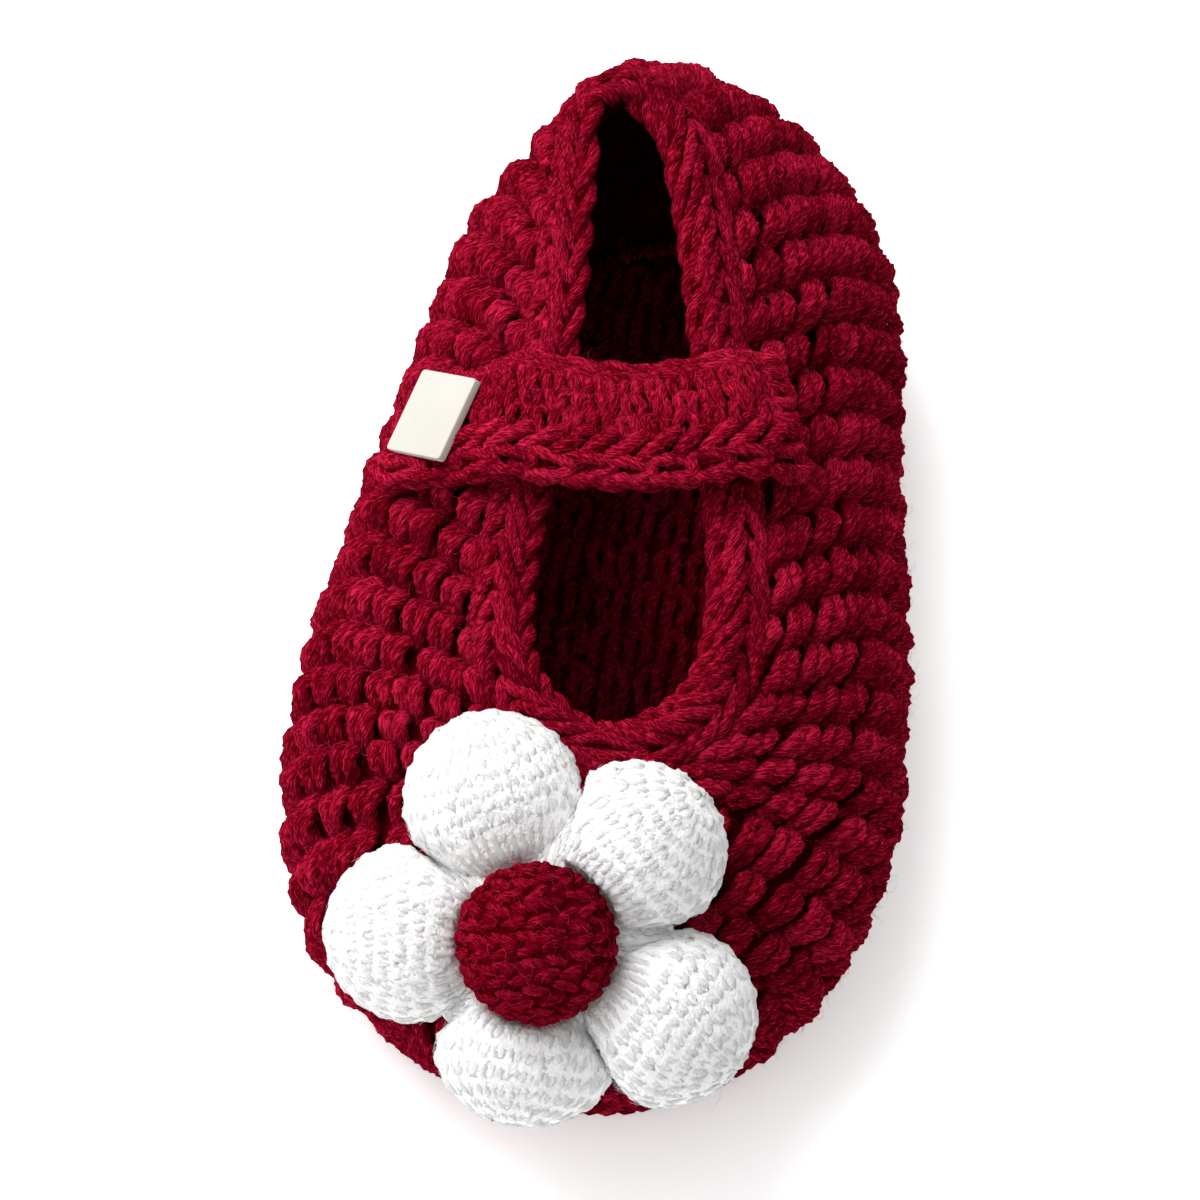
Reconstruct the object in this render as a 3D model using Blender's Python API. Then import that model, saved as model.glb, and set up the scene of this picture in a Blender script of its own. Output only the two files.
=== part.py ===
# Crocheted baby shoe with a strap over the throat and a five-petal flower on the toe.
# It is the wearer's right shoe: the toe points to -Y, the strap's tagged end is on the outer side, -X.
# Sizes are in millimetres, and each mesh is turned into metres when it is made.

import math
from bisect import bisect_left

import bmesh
import bpy
import numpy as np
from mathutils import Vector
from mathutils.bvhtree import BVHTree

MM = 0.001
GAP = 0.3
# Share of a line by which its direction is felt on both sides of a point
FEEL = 0.004
# Height from which carriers are sought, above the whole shoe
SEEK_HEIGHT = 100.0
SMOOTH_ANGLE = math.radians(50.0)

# Plan outline at the fullest level of the shoe
TOE_TIP = -62.5
HEEL_BACK = 49.5
BALL_HALF_WIDTH = 30.4
HEEL_HALF_WIDTH = 23.6
TOE_ARC_START = -26.0
HEEL_ARC_START = 24.0
TAPER_END = 34.0
TOE_SQUARENESS = 2.2
HEEL_SQUARENESS = 1.95
HEEL_SWING = 1.3

# Sole pad
SOLE_THICKNESS = 4.0
SOLE_STATIONS = 40
TOE_SPRING = 1.2
TOE_SPRING_START = -44.0
TOE_SPRING_END = -62.0
# How far the rounded edge of the pad lies inside its widest line, at each share of the thickness
SOLE_EDGE = (
    {"level": 0.0, "inset": 2.4},
    {"level": 0.2, "inset": 0.8},
    {"level": 0.5, "inset": 0.0},
    {"level": 0.8, "inset": 0.5},
    {"level": 1.0, "inset": 1.5},
)
SOLE_INSET = 3.0

# Wall of the upper
WALL = 3.2
BASE_INSET = 3.0
BASE_LEVEL = SOLE_THICKNESS + GAP
BULGE_RISE = 10.0
FULL_RISE = 24.0
UNDERCUT_TURN = math.radians(65.0)
TOE_TURN = math.radians(90.0)
RIM_TURN = math.radians(58.0)
RIM_TURN_ROWS = 4.0
BULGE_SHARE = 0.24

# Crochet rows of the upper, counted along one side from toe to heel
ROWS = 27
TOE_ROWS = 8
SAMPLES_PER_ROW = 4
WALL_STEPS = 9
ROW_RISE = 0.8
EDGE_FADE = 0.07
LINED_FROM_ROW = 2
# Rise at which the wall's direction is read for its rim, just below the faded edge
RIM_RISE = 0.97

# Middle line of the toe, from the sole's front edge up to the front of the throat
TOE_LINE = (
    {"along": TOE_TIP + BASE_INSET, "height": BASE_LEVEL + TOE_SPRING},
    {"along": -62.4, "height": 9.5},
    {"along": -61.8, "height": 15.5},
    {"along": -58.6, "height": 21.5},
    {"along": -52.5, "height": 26.5},
    {"along": -45.0, "height": 29.6},
    {"along": -37.6, "height": 31.2},
)
# Rim of the wall round the throat, from its front to its heel end
THROAT_RIM = (
    {"along": -37.6, "half_width": 0.0, "height": 31.2},
    {"along": -34.4, "half_width": 8.8, "height": 31.4},
    {"along": -27.0, "half_width": 13.9, "height": 32.0},
    {"along": -16.0, "half_width": 14.9, "height": 33.3},
    {"along": -2.0, "half_width": 13.0, "height": 36.0},
    {"along": 12.0, "half_width": 11.2, "height": 39.0},
    {"along": 24.0, "half_width": 9.4, "height": 41.6},
    {"along": 33.6, "half_width": 6.6, "height": 43.2},
    {"along": 38.0, "half_width": 0.0, "height": 43.6},
)
# The throat lies slightly askew: its front drifts inwards, its heel end outwards
THROAT_DRIFT_FRONT = 1.8
THROAT_DRIFT_HEEL = -4.4

# Braided edging on the rim
EDGING_WIDTH = 5.7
EDGING_THICKNESS = 2.1
EDGING_SINK = 1.0
EDGING_BRAID = 0.1
# Section of the edging: two ridges beside a groove
EDGING_SECTION = (
    {"across": -1.0, "out": 0.0},
    {"across": -0.78, "out": 0.8},
    {"across": -0.4, "out": 1.0},
    {"across": 0.0, "out": 0.66},
    {"across": 0.4, "out": 1.0},
    {"across": 0.78, "out": 0.8},
    {"across": 1.0, "out": 0.0},
    {"across": 0.55, "out": -0.85},
    {"across": -0.55, "out": -0.85},
)

# Strap over the throat, from its tagged end to its sewn end
STRAP_WIDTH = 12.6
STRAP_THICKNESS = 2.8
STRAP_STEPS = 34
STRAP_ACROSS = 8
STRAP_CLEARANCE = 0.35
STRAP_FEEL = 0.6
STRAP_SMOOTHING = 12
STRAP_EDGE_ROUND = 0.55
STRAP_EDGE_POWER = 6
STRAP_LINE = (
    {"across": -23.0, "along": -0.4},
    {"across": -16.0, "along": -2.4},
    {"across": -8.0, "along": -3.6},
    {"across": 1.0, "along": -3.4},
    {"across": 8.5, "along": -1.4},
    {"across": 14.6, "along": 1.2},
)

# Tag on the strap's outer end
TAG_SIZE = 9.0
TAG_THICKNESS = 0.9
TAG_CORNER = 0.4
TAG_FROM_END = 3.9
TAG_TURN = math.radians(-1.0)

# Flower on the toe, its petals counted from the upper outer one: angle from +X, distance from the middle, size
FLOWER_ALONG = -52.6
FLOWER_ACROSS = -2.0
FLOWER_SEEK = 40.0
HALVINGS = 40
PETALS = (
    {"angle": 115.0, "ring": 13.6, "length": 18.4},
    {"angle": 187.0, "ring": 11.6, "length": 18.4},
    {"angle": 271.0, "ring": 9.4, "length": 15.6},
    {"angle": 339.0, "ring": 13.0, "length": 18.4},
    {"angle": 47.0, "ring": 11.4, "length": 18.4},
)
PETAL_WIDTH = 18.0
PETAL_HEIGHT = 12.0
PETAL_SINK = 2.6
PETAL_SEGMENTS = 18
PETAL_RINGS = 9
PETAL_TUCK = 0.8
PETAL_PRESSES = 3
CENTRE_WIDTH = 15.6
CENTRE_HEIGHT = 13.0
CENTRE_SEGMENTS = 20
CENTRE_RINGS = 10
CENTRE_CLEARANCE = 0.48
CENTRE_CORE = 0.05
SEAT = ROW_RISE + GAP

# Colours, linear
RED_YARN = (0.195, 0.0035, 0.013, 1.0)
WHITE_YARN = (0.87, 0.87, 0.86, 1.0)
CREAM = (0.9, 0.87, 0.78, 1.0)
YARN_ROUGHNESS = 0.9
TAG_ROUGHNESS = 0.45

UP = Vector((0.0, 0.0, 1.0))
SIDES = (-1, 1)


def ease(share):
    share = min(max(share, 0.0), 1.0)
    return share * share * (3.0 - 2.0 * share)


class Line:
    """A polyline that is read by the share of its length."""

    def __init__(self, points):
        self.points = points
        self.reach = [0.0]
        for start, end in zip(points, points[1:]):
            self.reach.append(self.reach[-1] + (end - start).length)

    def at(self, share):
        distance = min(max(share, 0.0), 1.0) * self.reach[-1]
        last = len(self.points) - 1
        index = min(max(bisect_left(self.reach, distance), 1), last)
        span = self.reach[index] - self.reach[index - 1]
        part = (distance - self.reach[index - 1]) / span
        return self.points[index - 1].lerp(self.points[index], part)


def smooth_line(knots, steps=14):
    """A Catmull-Rom curve through all knots but the first and the last, which set its end directions."""
    points = []
    for before, start, end, after in zip(knots, knots[1:], knots[2:], knots[3:]):
        leave = (end - before) / 2.0
        arrive = (after - start) / 2.0
        for step in range(steps):
            u = step / steps
            point = start * (2 * u**3 - 3 * u**2 + 1) + leave * (u**3 - 2 * u**2 + u)
            points.append(point + end * (3 * u**2 - 2 * u**3) + arrive * (u**3 - u**2))
    points.append(knots[-2])
    return Line(points)


def half_width(along):
    """Half the plan width of the shoe at its fullest level."""
    taper = ease((along - TOE_ARC_START) / (TAPER_END - TOE_ARC_START))
    width = BALL_HALF_WIDTH + (HEEL_HALF_WIDTH - BALL_HALF_WIDTH) * taper
    if along < TOE_ARC_START:
        reach = min((TOE_ARC_START - along) / (TOE_ARC_START - TOE_TIP), 1.0)
        return width * (1.0 - reach**TOE_SQUARENESS) ** (1.0 / TOE_SQUARENESS)
    if along > HEEL_ARC_START:
        reach = min((along - HEEL_ARC_START) / (HEEL_BACK - HEEL_ARC_START), 1.0)
        return width * (1.0 - reach**HEEL_SQUARENESS) ** (1.0 / HEEL_SQUARENESS)
    return width


def outline_line(steps=240):
    """Half the plan outline, from the toe's tip to the heel's back, on the +X side."""
    points = []
    for step in range(steps + 1):
        share = (1.0 - math.cos(math.pi * step / steps)) / 2.0
        along = TOE_TIP + (HEEL_BACK - TOE_TIP) * share
        points.append(Vector((half_width(along), along, 0.0)))
    return Line(points)


def toe_line():
    knots = [Vector((0.0, row["along"], row["height"])) for row in TOE_LINE]
    return smooth_line([knots[0] * 2 - knots[1], *knots, knots[-1] * 2 - knots[-2]])


def throat_line():
    knots = [Vector((row["half_width"], row["along"], row["height"])) for row in THROAT_RIM]
    mirror = Vector((-1.0, 1.0, 1.0))
    return smooth_line([knots[1] * mirror, *knots, knots[-2] * mirror])


OUTLINE = outline_line()
TOE_MIDDLE = toe_line()
THROAT = throat_line()
TOE_SHARE = TOE_ROWS / ROWS


def toe_lift(along):
    """Rise of the sole under the toe."""
    return TOE_SPRING * ease((TOE_SPRING_START - along) / (TOE_SPRING_START - TOE_SPRING_END))


def throat_drift(along):
    """Sideways drift of the middle line, none at the toe's tip."""
    front = THROAT_RIM[0]["along"]
    heel = THROAT_RIM[-1]["along"]
    if along < front:
        return THROAT_DRIFT_FRONT * ease((along - TOE_TIP) / (front - TOE_TIP))
    share = (along - front) / (heel - front)
    return THROAT_DRIFT_FRONT + (THROAT_DRIFT_HEEL - THROAT_DRIFT_FRONT) * share**2


def outline_point(side, share, inset):
    """Point of the plan outline on one side, moved inwards by the inset."""
    point = OUTLINE.at(share)
    before = OUTLINE.at(share - FEEL)
    after = OUTLINE.at(share + FEEL)
    if share < FEEL:
        before = Vector((-after.x, after.y, 0.0))
    if share > 1.0 - FEEL:
        after = Vector((-before.x, before.y, 0.0))
    run = (after - before).normalized()
    inwards = Vector((-run.y, run.x, 0.0))
    moved = point + inwards * inset
    swing = HEEL_SWING * ease(moved.y / HEEL_BACK)
    return Vector((side * moved.x + swing, moved.y, 0.0))


def wall_top(side, share):
    """Upper end of a row: on the toe's middle line, or on the rim of the throat."""
    if share <= TOE_SHARE:
        point = TOE_MIDDLE.at(share / TOE_SHARE)
    else:
        point = THROAT.at((share - TOE_SHARE) / (1.0 - TOE_SHARE))
    return Vector((side * point.x + throat_drift(point.y), point.y, point.z))


def wall_turn(share):
    """Angle through which a row turns inwards above its fullest level."""
    past_toe = (share - TOE_SHARE) * ROWS / RIM_TURN_ROWS
    return TOE_TURN + (RIM_TURN - TOE_TURN) * ease(past_toe)


def wall_point(side, share, rise):
    """Point of the wall's smooth outer face: share runs from toe to heel, rise from sole to top."""
    if share < 0.0:
        return wall_point(-side, -share, rise)
    if share > 1.0:
        return wall_point(-side, 2.0 - share, rise)
    if rise > 1.0:
        return wall_point(-side, share, 2.0 - rise)
    base = outline_point(side, share, BASE_INSET)
    base.z = BASE_LEVEL + toe_lift(base.y)
    top = wall_top(side, share)
    fullness = min((top.z - base.z) / FULL_RISE, 1.0)
    bulge = outline_point(side, share, BASE_INSET * (1.0 - fullness))
    bulge.z = base.z + BULGE_RISE * fullness
    if rise < BULGE_SHARE:
        turn = UNDERCUT_TURN * (1.0 - rise / BULGE_SHARE)
        inward = (1.0 - math.cos(turn)) / (1.0 - math.cos(UNDERCUT_TURN))
        drop = math.sin(turn) / math.sin(UNDERCUT_TURN)
        end = base
    else:
        full_turn = wall_turn(share)
        turn = full_turn * (rise - BULGE_SHARE) / (1.0 - BULGE_SHARE)
        inward = (1.0 - math.cos(turn)) / (1.0 - math.cos(full_turn))
        drop = math.sin(turn) / math.sin(full_turn)
        end = top
    across = bulge.lerp(end, inward)
    return Vector((across.x, across.y, bulge.z + (end.z - bulge.z) * drop))


def wall_normal(side, share, rise):
    """Outward direction of the wall's smooth face."""
    low = max(rise - FEEL, 0.0)
    high = rise + FEEL
    if share > TOE_SHARE:
        high = min(high, 1.0)
    along = wall_point(side, share + FEEL, rise) - wall_point(side, share - FEEL, rise)
    upward = wall_point(side, share, high) - wall_point(side, share, low)
    return along.cross(upward).normalized() * side


def row_relief(share, rise):
    """How far the crochet rows stand out: full on the ridges, none in the furrows and along the edges."""
    ridge = 0.5 - 0.5 * math.cos(2.0 * math.pi * share * ROWS)
    fade = ease(rise / EDGE_FADE)
    if share > TOE_SHARE:
        fade *= ease((1.0 - rise) / EDGE_FADE)
    return ROW_RISE * ridge * fade


def principled(name, colour, roughness):
    material = bpy.data.materials.new(name)
    material.use_nodes = True
    shader = material.node_tree.nodes["Principled BSDF"]
    shader.inputs["Base Color"].default_value = colour
    shader.inputs["Roughness"].default_value = roughness
    shader.inputs["Metallic"].default_value = 0.0
    return material


def add_part(name, points, faces, material):
    """Makes one closed mesh object from millimetre points, and returns a tree to measure against."""
    body = bmesh.new()
    corners = [body.verts.new(point * MM) for point in points]
    for face in faces:
        body.faces.new([corners[index] for index in face])
    bmesh.ops.recalc_face_normals(body, faces=body.faces)
    bmesh.ops.triangulate(body, faces=body.faces)
    mesh = bpy.data.meshes.new(name)
    body.to_mesh(mesh)
    mesh.materials.append(material)
    mesh.shade_smooth()
    mesh.set_sharp_from_angle(angle=SMOOTH_ANGLE)
    part = bpy.data.objects.new(name, mesh)
    bpy.context.scene.collection.objects.link(part)
    tree = BVHTree.FromBMesh(body)
    body.free()
    return tree


class Shell:
    """Collects points under names, so that neighbouring faces share them."""

    def __init__(self):
        self.points = []
        self.faces = []
        self.index = {}

    def corner(self, key, make):
        if key not in self.index:
            self.index[key] = len(self.points)
            self.points.append(make())
        return self.index[key]

    def face(self, corners):
        corners = list(dict.fromkeys(corners))
        if len(corners) > 2:
            self.faces.append(corners)


def build_sole(material):
    shell = Shell()
    levels = range(len(SOLE_EDGE))

    def corner(side, station, level):
        row = SOLE_EDGE[level]
        if station in (0, SOLE_STATIONS):
            side = 1

        def make():
            point = outline_point(side, station / SOLE_STATIONS, SOLE_INSET + row["inset"])
            point.z = SOLE_THICKNESS * row["level"] + toe_lift(point.y)
            return point

        return shell.corner((side, station, level), make)

    for station in range(SOLE_STATIONS):
        following = station + 1
        for level in levels[:-1]:
            for side in SIDES:
                lower = [corner(side, station, level), corner(side, following, level)]
                upper = [corner(side, following, level + 1), corner(side, station, level + 1)]
                shell.face(lower + upper)
        for level in (levels[0], levels[-1]):
            near = [corner(-1, station, level), corner(1, station, level)]
            far = [corner(1, following, level), corner(-1, following, level)]
            shell.face(near + far)
    add_part("sole", shell.points, shell.faces, material)


def build_upper(material):
    shell = Shell()
    stations = ROWS * SAMPLES_PER_ROW
    throat_station = TOE_ROWS * SAMPLES_PER_ROW
    lined_from = LINED_FROM_ROW * SAMPLES_PER_ROW
    middle = WALL_STEPS

    def shared_side(side, station, step):
        on_middle_line = step == middle and station <= throat_station
        return 1 if on_middle_line or station == stations else side

    def outer(side, station, step):
        side = shared_side(side, station, step)
        key = ("outer", side, station, step) if station else ("tip",)

        def make():
            share = station / stations
            rise = step / WALL_STEPS
            point = wall_point(side, share, rise)
            relief = row_relief(share, rise)
            if relief:
                point = point + wall_normal(side, share, rise) * relief
            return point

        return shell.corner(key, make)

    def inner(side, station, step):
        side = shared_side(side, station, step)

        def make():
            share = station / stations
            rise = step / WALL_STEPS
            outwards = wall_normal(side, share, rise)
            if step == 0:
                outwards = Vector((outwards.x, outwards.y, 0.0)).normalized()
            return wall_point(side, share, rise) - outwards * WALL

        return shell.corner(("inner", side, station, step), make)

    for side in SIDES:
        for station in range(stations):
            for step in range(WALL_STEPS):
                lower = [outer(side, station, step), outer(side, station + 1, step)]
                upper = [outer(side, station + 1, step + 1), outer(side, station, step + 1)]
                shell.face(lower + upper)
        for station in range(lined_from, stations, SAMPLES_PER_ROW):
            following = station + SAMPLES_PER_ROW
            span = range(station, following + 1)
            for step in range(WALL_STEPS):
                lower = [inner(side, station, step), inner(side, following, step)]
                upper = [inner(side, following, step + 1), inner(side, station, step + 1)]
                shell.face(lower + upper)
            foot = [outer(side, each, 0) for each in span]
            shell.face(foot + [inner(side, following, 0), inner(side, station, 0)])
            if station >= throat_station:
                rim = [outer(side, each, middle) for each in span]
                shell.face(rim + [inner(side, following, middle), inner(side, station, middle)])
    # The lining closes a few millimetres behind the tip of the toe
    left_arch = [inner(-1, lined_from, step) for step in range(WALL_STEPS + 1)]
    right_arch = [inner(1, lined_from, step) for step in range(WALL_STEPS + 1)]
    shell.face(left_arch + right_arch[::-1])
    left_foot = [outer(-1, station, 0) for station in range(lined_from, -1, -1)]
    right_foot = [outer(1, station, 0) for station in range(lined_from + 1)]
    shell.face(left_foot + right_foot + [right_arch[0], left_arch[0]])
    return add_part("upper", shell.points, shell.faces, material)


def rim_frame(side, share):
    """Point on the rim, the way from it into the throat along the wall, and the wall's outward direction."""
    point = wall_top(side, share)
    if share > TOE_SHARE + FEEL:
        before = wall_top(side, share - FEEL)
    else:
        before = wall_top(-side, 2.0 * TOE_SHARE + FEEL - share)
    if share < 1.0 - FEEL:
        after = wall_top(side, share + FEEL)
    else:
        after = wall_top(-side, 2.0 - FEEL - share)
    run = after - before
    inwards = Vector((-run.y, run.x, 0.0)).normalized() * side
    outwards = wall_normal(side, share, RIM_RISE)
    inwards = (inwards - outwards * inwards.dot(outwards)).normalized()
    return point, inwards, outwards


def build_edging(material):
    shell = Shell()
    stations = (ROWS - TOE_ROWS) * SAMPLES_PER_ROW
    section = range(len(EDGING_SECTION))

    def corner(side, station, number):
        if station in (0, stations):
            side = 1
        row = EDGING_SECTION[number]

        def make():
            share = TOE_SHARE + (1.0 - TOE_SHARE) * station / stations
            point, inwards, outwards = rim_frame(side, share)
            middle = point + inwards * (GAP + EDGING_WIDTH / 2.0) - outwards * EDGING_SINK
            braid = 1.0 - EDGING_BRAID * math.cos(2.0 * math.pi * share * ROWS)
            across = inwards * (row["across"] * EDGING_WIDTH / 2.0)
            return middle + across + outwards * (row["out"] * EDGING_THICKNESS * braid)

        return shell.corner((side, station, number), make)

    for side in SIDES:
        for station in range(stations):
            for number in section:
                following = (number + 1) % len(section)
                near = [corner(side, station, number), corner(side, station, following)]
                far = [corner(side, station + 1, following), corner(side, station + 1, number)]
                shell.face(near + far)
    return add_part("throat_edging", shell.points, shell.faces, material)


def strap_middle():
    knots = [Vector((row["across"], row["along"], 0.0)) for row in STRAP_LINE]
    return smooth_line([knots[0] * 2 - knots[1], *knots, knots[-1] * 2 - knots[-2]])


def strap_underside(carriers):
    """Grid of points where the strap's underside rests on what carries it, and spans the throat between."""
    line = strap_middle()
    plan = []
    for step in range(STRAP_STEPS + 1):
        share = step / STRAP_STEPS
        middle = line.at(share)
        run = (line.at(share + FEEL) - line.at(share - FEEL)).normalized()
        sideways = Vector((-run.y, run.x, 0.0))
        row = []
        for number in range(STRAP_ACROSS + 1):
            offset = (number / STRAP_ACROSS - 0.5) * STRAP_WIDTH
            row.append(middle + sideways * offset)
        plan.append(row)
    floor = [[seat_height(point, carriers) for point in row] for row in plan]
    height = taut_heights(plan, floor)
    # The band evens out across its width, and stays above all that it passes over
    for _ in range(STRAP_SMOOTHING):
        relaxed = [row[:] for row in height]
        for step in range(STRAP_STEPS + 1):
            for number in range(STRAP_ACROSS + 1):
                beside = height[step][max(number - 1, 0)] + height[step][min(number + 1, STRAP_ACROSS)]
                mean = height[step][number] * 0.5 + beside * 0.25
                relaxed[step][number] = max(mean, floor[step][number])
        height = relaxed
    return [
        [Vector((point.x, point.y, level)) for point, level in zip(row, levels)]
        for row, levels in zip(plan, height)
    ]


def taut_heights(plan, floor):
    """Heights of a band pulled straight over the high points of what it crosses."""
    heights = [row[:] for row in floor]
    for number in range(STRAP_ACROSS + 1):
        reach = [row[number].x for row in plan]
        crest = []
        for spot in zip(reach, [row[number] for row in floor]):
            while len(crest) > 1 and not bends_down(crest[-2], crest[-1], spot):
                crest.pop()
            crest.append(spot)
        levels = np.interp(reach, [spot[0] for spot in crest], [spot[1] for spot in crest])
        for step, level in enumerate(levels):
            heights[step][number] = float(level)
    return heights


def bends_down(first, second, third):
    """True where a line through three (reach, height) spots turns downwards at the second."""
    slope_in = (second[1] - first[1]) / (second[0] - first[0])
    slope_out = (third[1] - second[1]) / (third[0] - second[0])
    return slope_out < slope_in


def seat_height(point, carriers):
    """Height just above the highest carrier round a plan point, or the sole where there is none."""
    heights = [0.0]
    for shift_x in (-STRAP_FEEL, 0.0, STRAP_FEEL):
        for shift_y in (-STRAP_FEEL, 0.0, STRAP_FEEL):
            start = Vector((point.x + shift_x, point.y + shift_y, SEEK_HEIGHT)) * MM
            for tree in carriers:
                place = tree.ray_cast(start, -UP)[0]
                if place is not None:
                    heights.append(place.z / MM)
    return max(heights) + STRAP_CLEARANCE


def grid_normal(grid, step, number):
    ahead = grid[min(step + 1, len(grid) - 1)][number] - grid[max(step - 1, 0)][number]
    last = len(grid[0]) - 1
    beside = grid[step][min(number + 1, last)] - grid[step][max(number - 1, 0)]
    return ahead.cross(beside).normalized()


def build_strap(material, carriers):
    under = strap_underside(carriers)
    shell = Shell()

    def corner(step, number, is_top):
        def make():
            point = under[step][number]
            if not is_top:
                return point
            edge = abs(number / STRAP_ACROSS - 0.5) * 2.0
            thickness = STRAP_THICKNESS * (1.0 - (1.0 - STRAP_EDGE_ROUND) * edge**STRAP_EDGE_POWER)
            return point + grid_normal(under, step, number) * thickness

        return shell.corner((step, number, is_top), make)

    for step in range(STRAP_STEPS):
        for is_top in (False, True):
            for number in range(STRAP_ACROSS):
                near = [corner(step, number, is_top), corner(step, number + 1, is_top)]
                far = [corner(step + 1, number + 1, is_top), corner(step + 1, number, is_top)]
                shell.face(near + far)
        for number in (0, STRAP_ACROSS):
            lower = [corner(step, number, False), corner(step + 1, number, False)]
            upper = [corner(step + 1, number, True), corner(step, number, True)]
            shell.face(lower + upper)
    for step in (0, STRAP_STEPS):
        for number in range(STRAP_ACROSS):
            lower = [corner(step, number, False), corner(step, number + 1, False)]
            upper = [corner(step, number + 1, True), corner(step, number, True)]
            shell.face(lower + upper)
    return add_part("strap", shell.points, shell.faces, material)


def build_tag(material, strap_tree):
    """A square plate with small round corners, laid on the strap near its outer end."""
    line = strap_middle()
    share = TAG_FROM_END / line.reach[-1]
    spot = line.at(share)
    place, outwards, _, _ = strap_tree.ray_cast(Vector((spot.x, spot.y, SEEK_HEIGHT)) * MM, -UP)
    run = (line.at(share + FEEL) - line.at(share - FEEL)).normalized()
    run = (run - outwards * run.dot(outwards)).normalized()
    sideways = outwards.cross(run)
    across = run * math.cos(TAG_TURN) + sideways * math.sin(TAG_TURN)
    upward = outwards.cross(across)
    rounding = TAG_SIZE / 2.0 - TAG_CORNER
    outline = []
    for quarter in range(4):
        for part in range(4):
            angle = math.radians(90.0 * quarter + 30.0 * part)
            middle = math.radians(90.0 * quarter + 45.0)
            u = rounding * math.copysign(1.0, math.cos(middle)) + TAG_CORNER * math.cos(angle)
            v = rounding * math.copysign(1.0, math.sin(middle)) + TAG_CORNER * math.sin(angle)
            outline.append(across * u + upward * v)
    count = len(outline)
    middle = place / MM
    clear = max(rest_rise(middle + corner, outwards, strap_tree) for corner in outline + [Vector()])
    low = middle + outwards * (clear + GAP)
    points = [low + corner for corner in outline]
    points += [low + corner + outwards * TAG_THICKNESS for corner in outline]
    faces = [list(range(count)), list(range(count, 2 * count))]
    for number in range(count):
        following = (number + 1) % count
        faces.append([number, following, following + count, number + count])
    add_part("tag", points, faces, material)


def rest_rise(point, outwards, tree):
    """How far a carrier stands above a flat plate's point, along the plate's outward direction."""
    start = (point + outwards * FLOWER_SEEK) * MM
    place = tree.ray_cast(start, -outwards)[0]
    if place is None:
        return 0.0
    return (place / MM - point).dot(outwards)


def flower_frame():
    """Middle of the flower on the toe's smooth face, with its sideways, upward and outward directions."""
    low = 0.0
    high = TOE_SHARE
    for _ in range(HALVINGS):
        share = (low + high) / 2.0
        past = wall_point(1, share, 1.0)
        if past.y < FLOWER_ALONG or past.z < SOLE_THICKNESS + BULGE_RISE:
            low = share
        else:
            high = share
    outwards = wall_normal(1, low, 1.0)
    sideways = Vector((1.0, 0.0, 0.0))
    sideways = (sideways - outwards * sideways.dot(outwards)).normalized()
    middle = wall_point(1, low, 1.0) + sideways * FLOWER_ACROSS
    return middle, sideways, outwards.cross(sideways), outwards


def round_body(segments, rings):
    """Unit ball as directions, poles first and last, with its faces."""
    points = [Vector((0.0, 0.0, -1.0))]
    for ring in range(1, rings):
        level = -math.cos(math.pi * ring / rings)
        radius = math.sin(math.pi * ring / rings)
        for segment in range(segments):
            angle = 2.0 * math.pi * segment / segments
            points.append(Vector((radius * math.cos(angle), radius * math.sin(angle), level)))
    points.append(Vector((0.0, 0.0, 1.0)))
    faces = []
    last = len(points) - 1
    for segment in range(segments):
        following = (segment + 1) % segments
        faces.append([0, 1 + following, 1 + segment])
        for ring in range(rings - 2):
            start = 1 + ring * segments
            lower = [start + segment, start + following]
            faces.append(lower + [start + following + segments, start + segment + segments])
        top = 1 + (rings - 2) * segments
        faces.append([top + segment, top + following, last])
    return points, faces


def press_off(point, carriers):
    """Moves a point that is too near the upper or its edging out to its seat."""
    for tree in carriers:
        place, outwards, _, _ = tree.find_nearest(point * MM)
        depth = (point - place / MM).dot(outwards)
        if depth < SEAT:
            point = point + outwards * (SEAT - depth)
    return point


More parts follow.
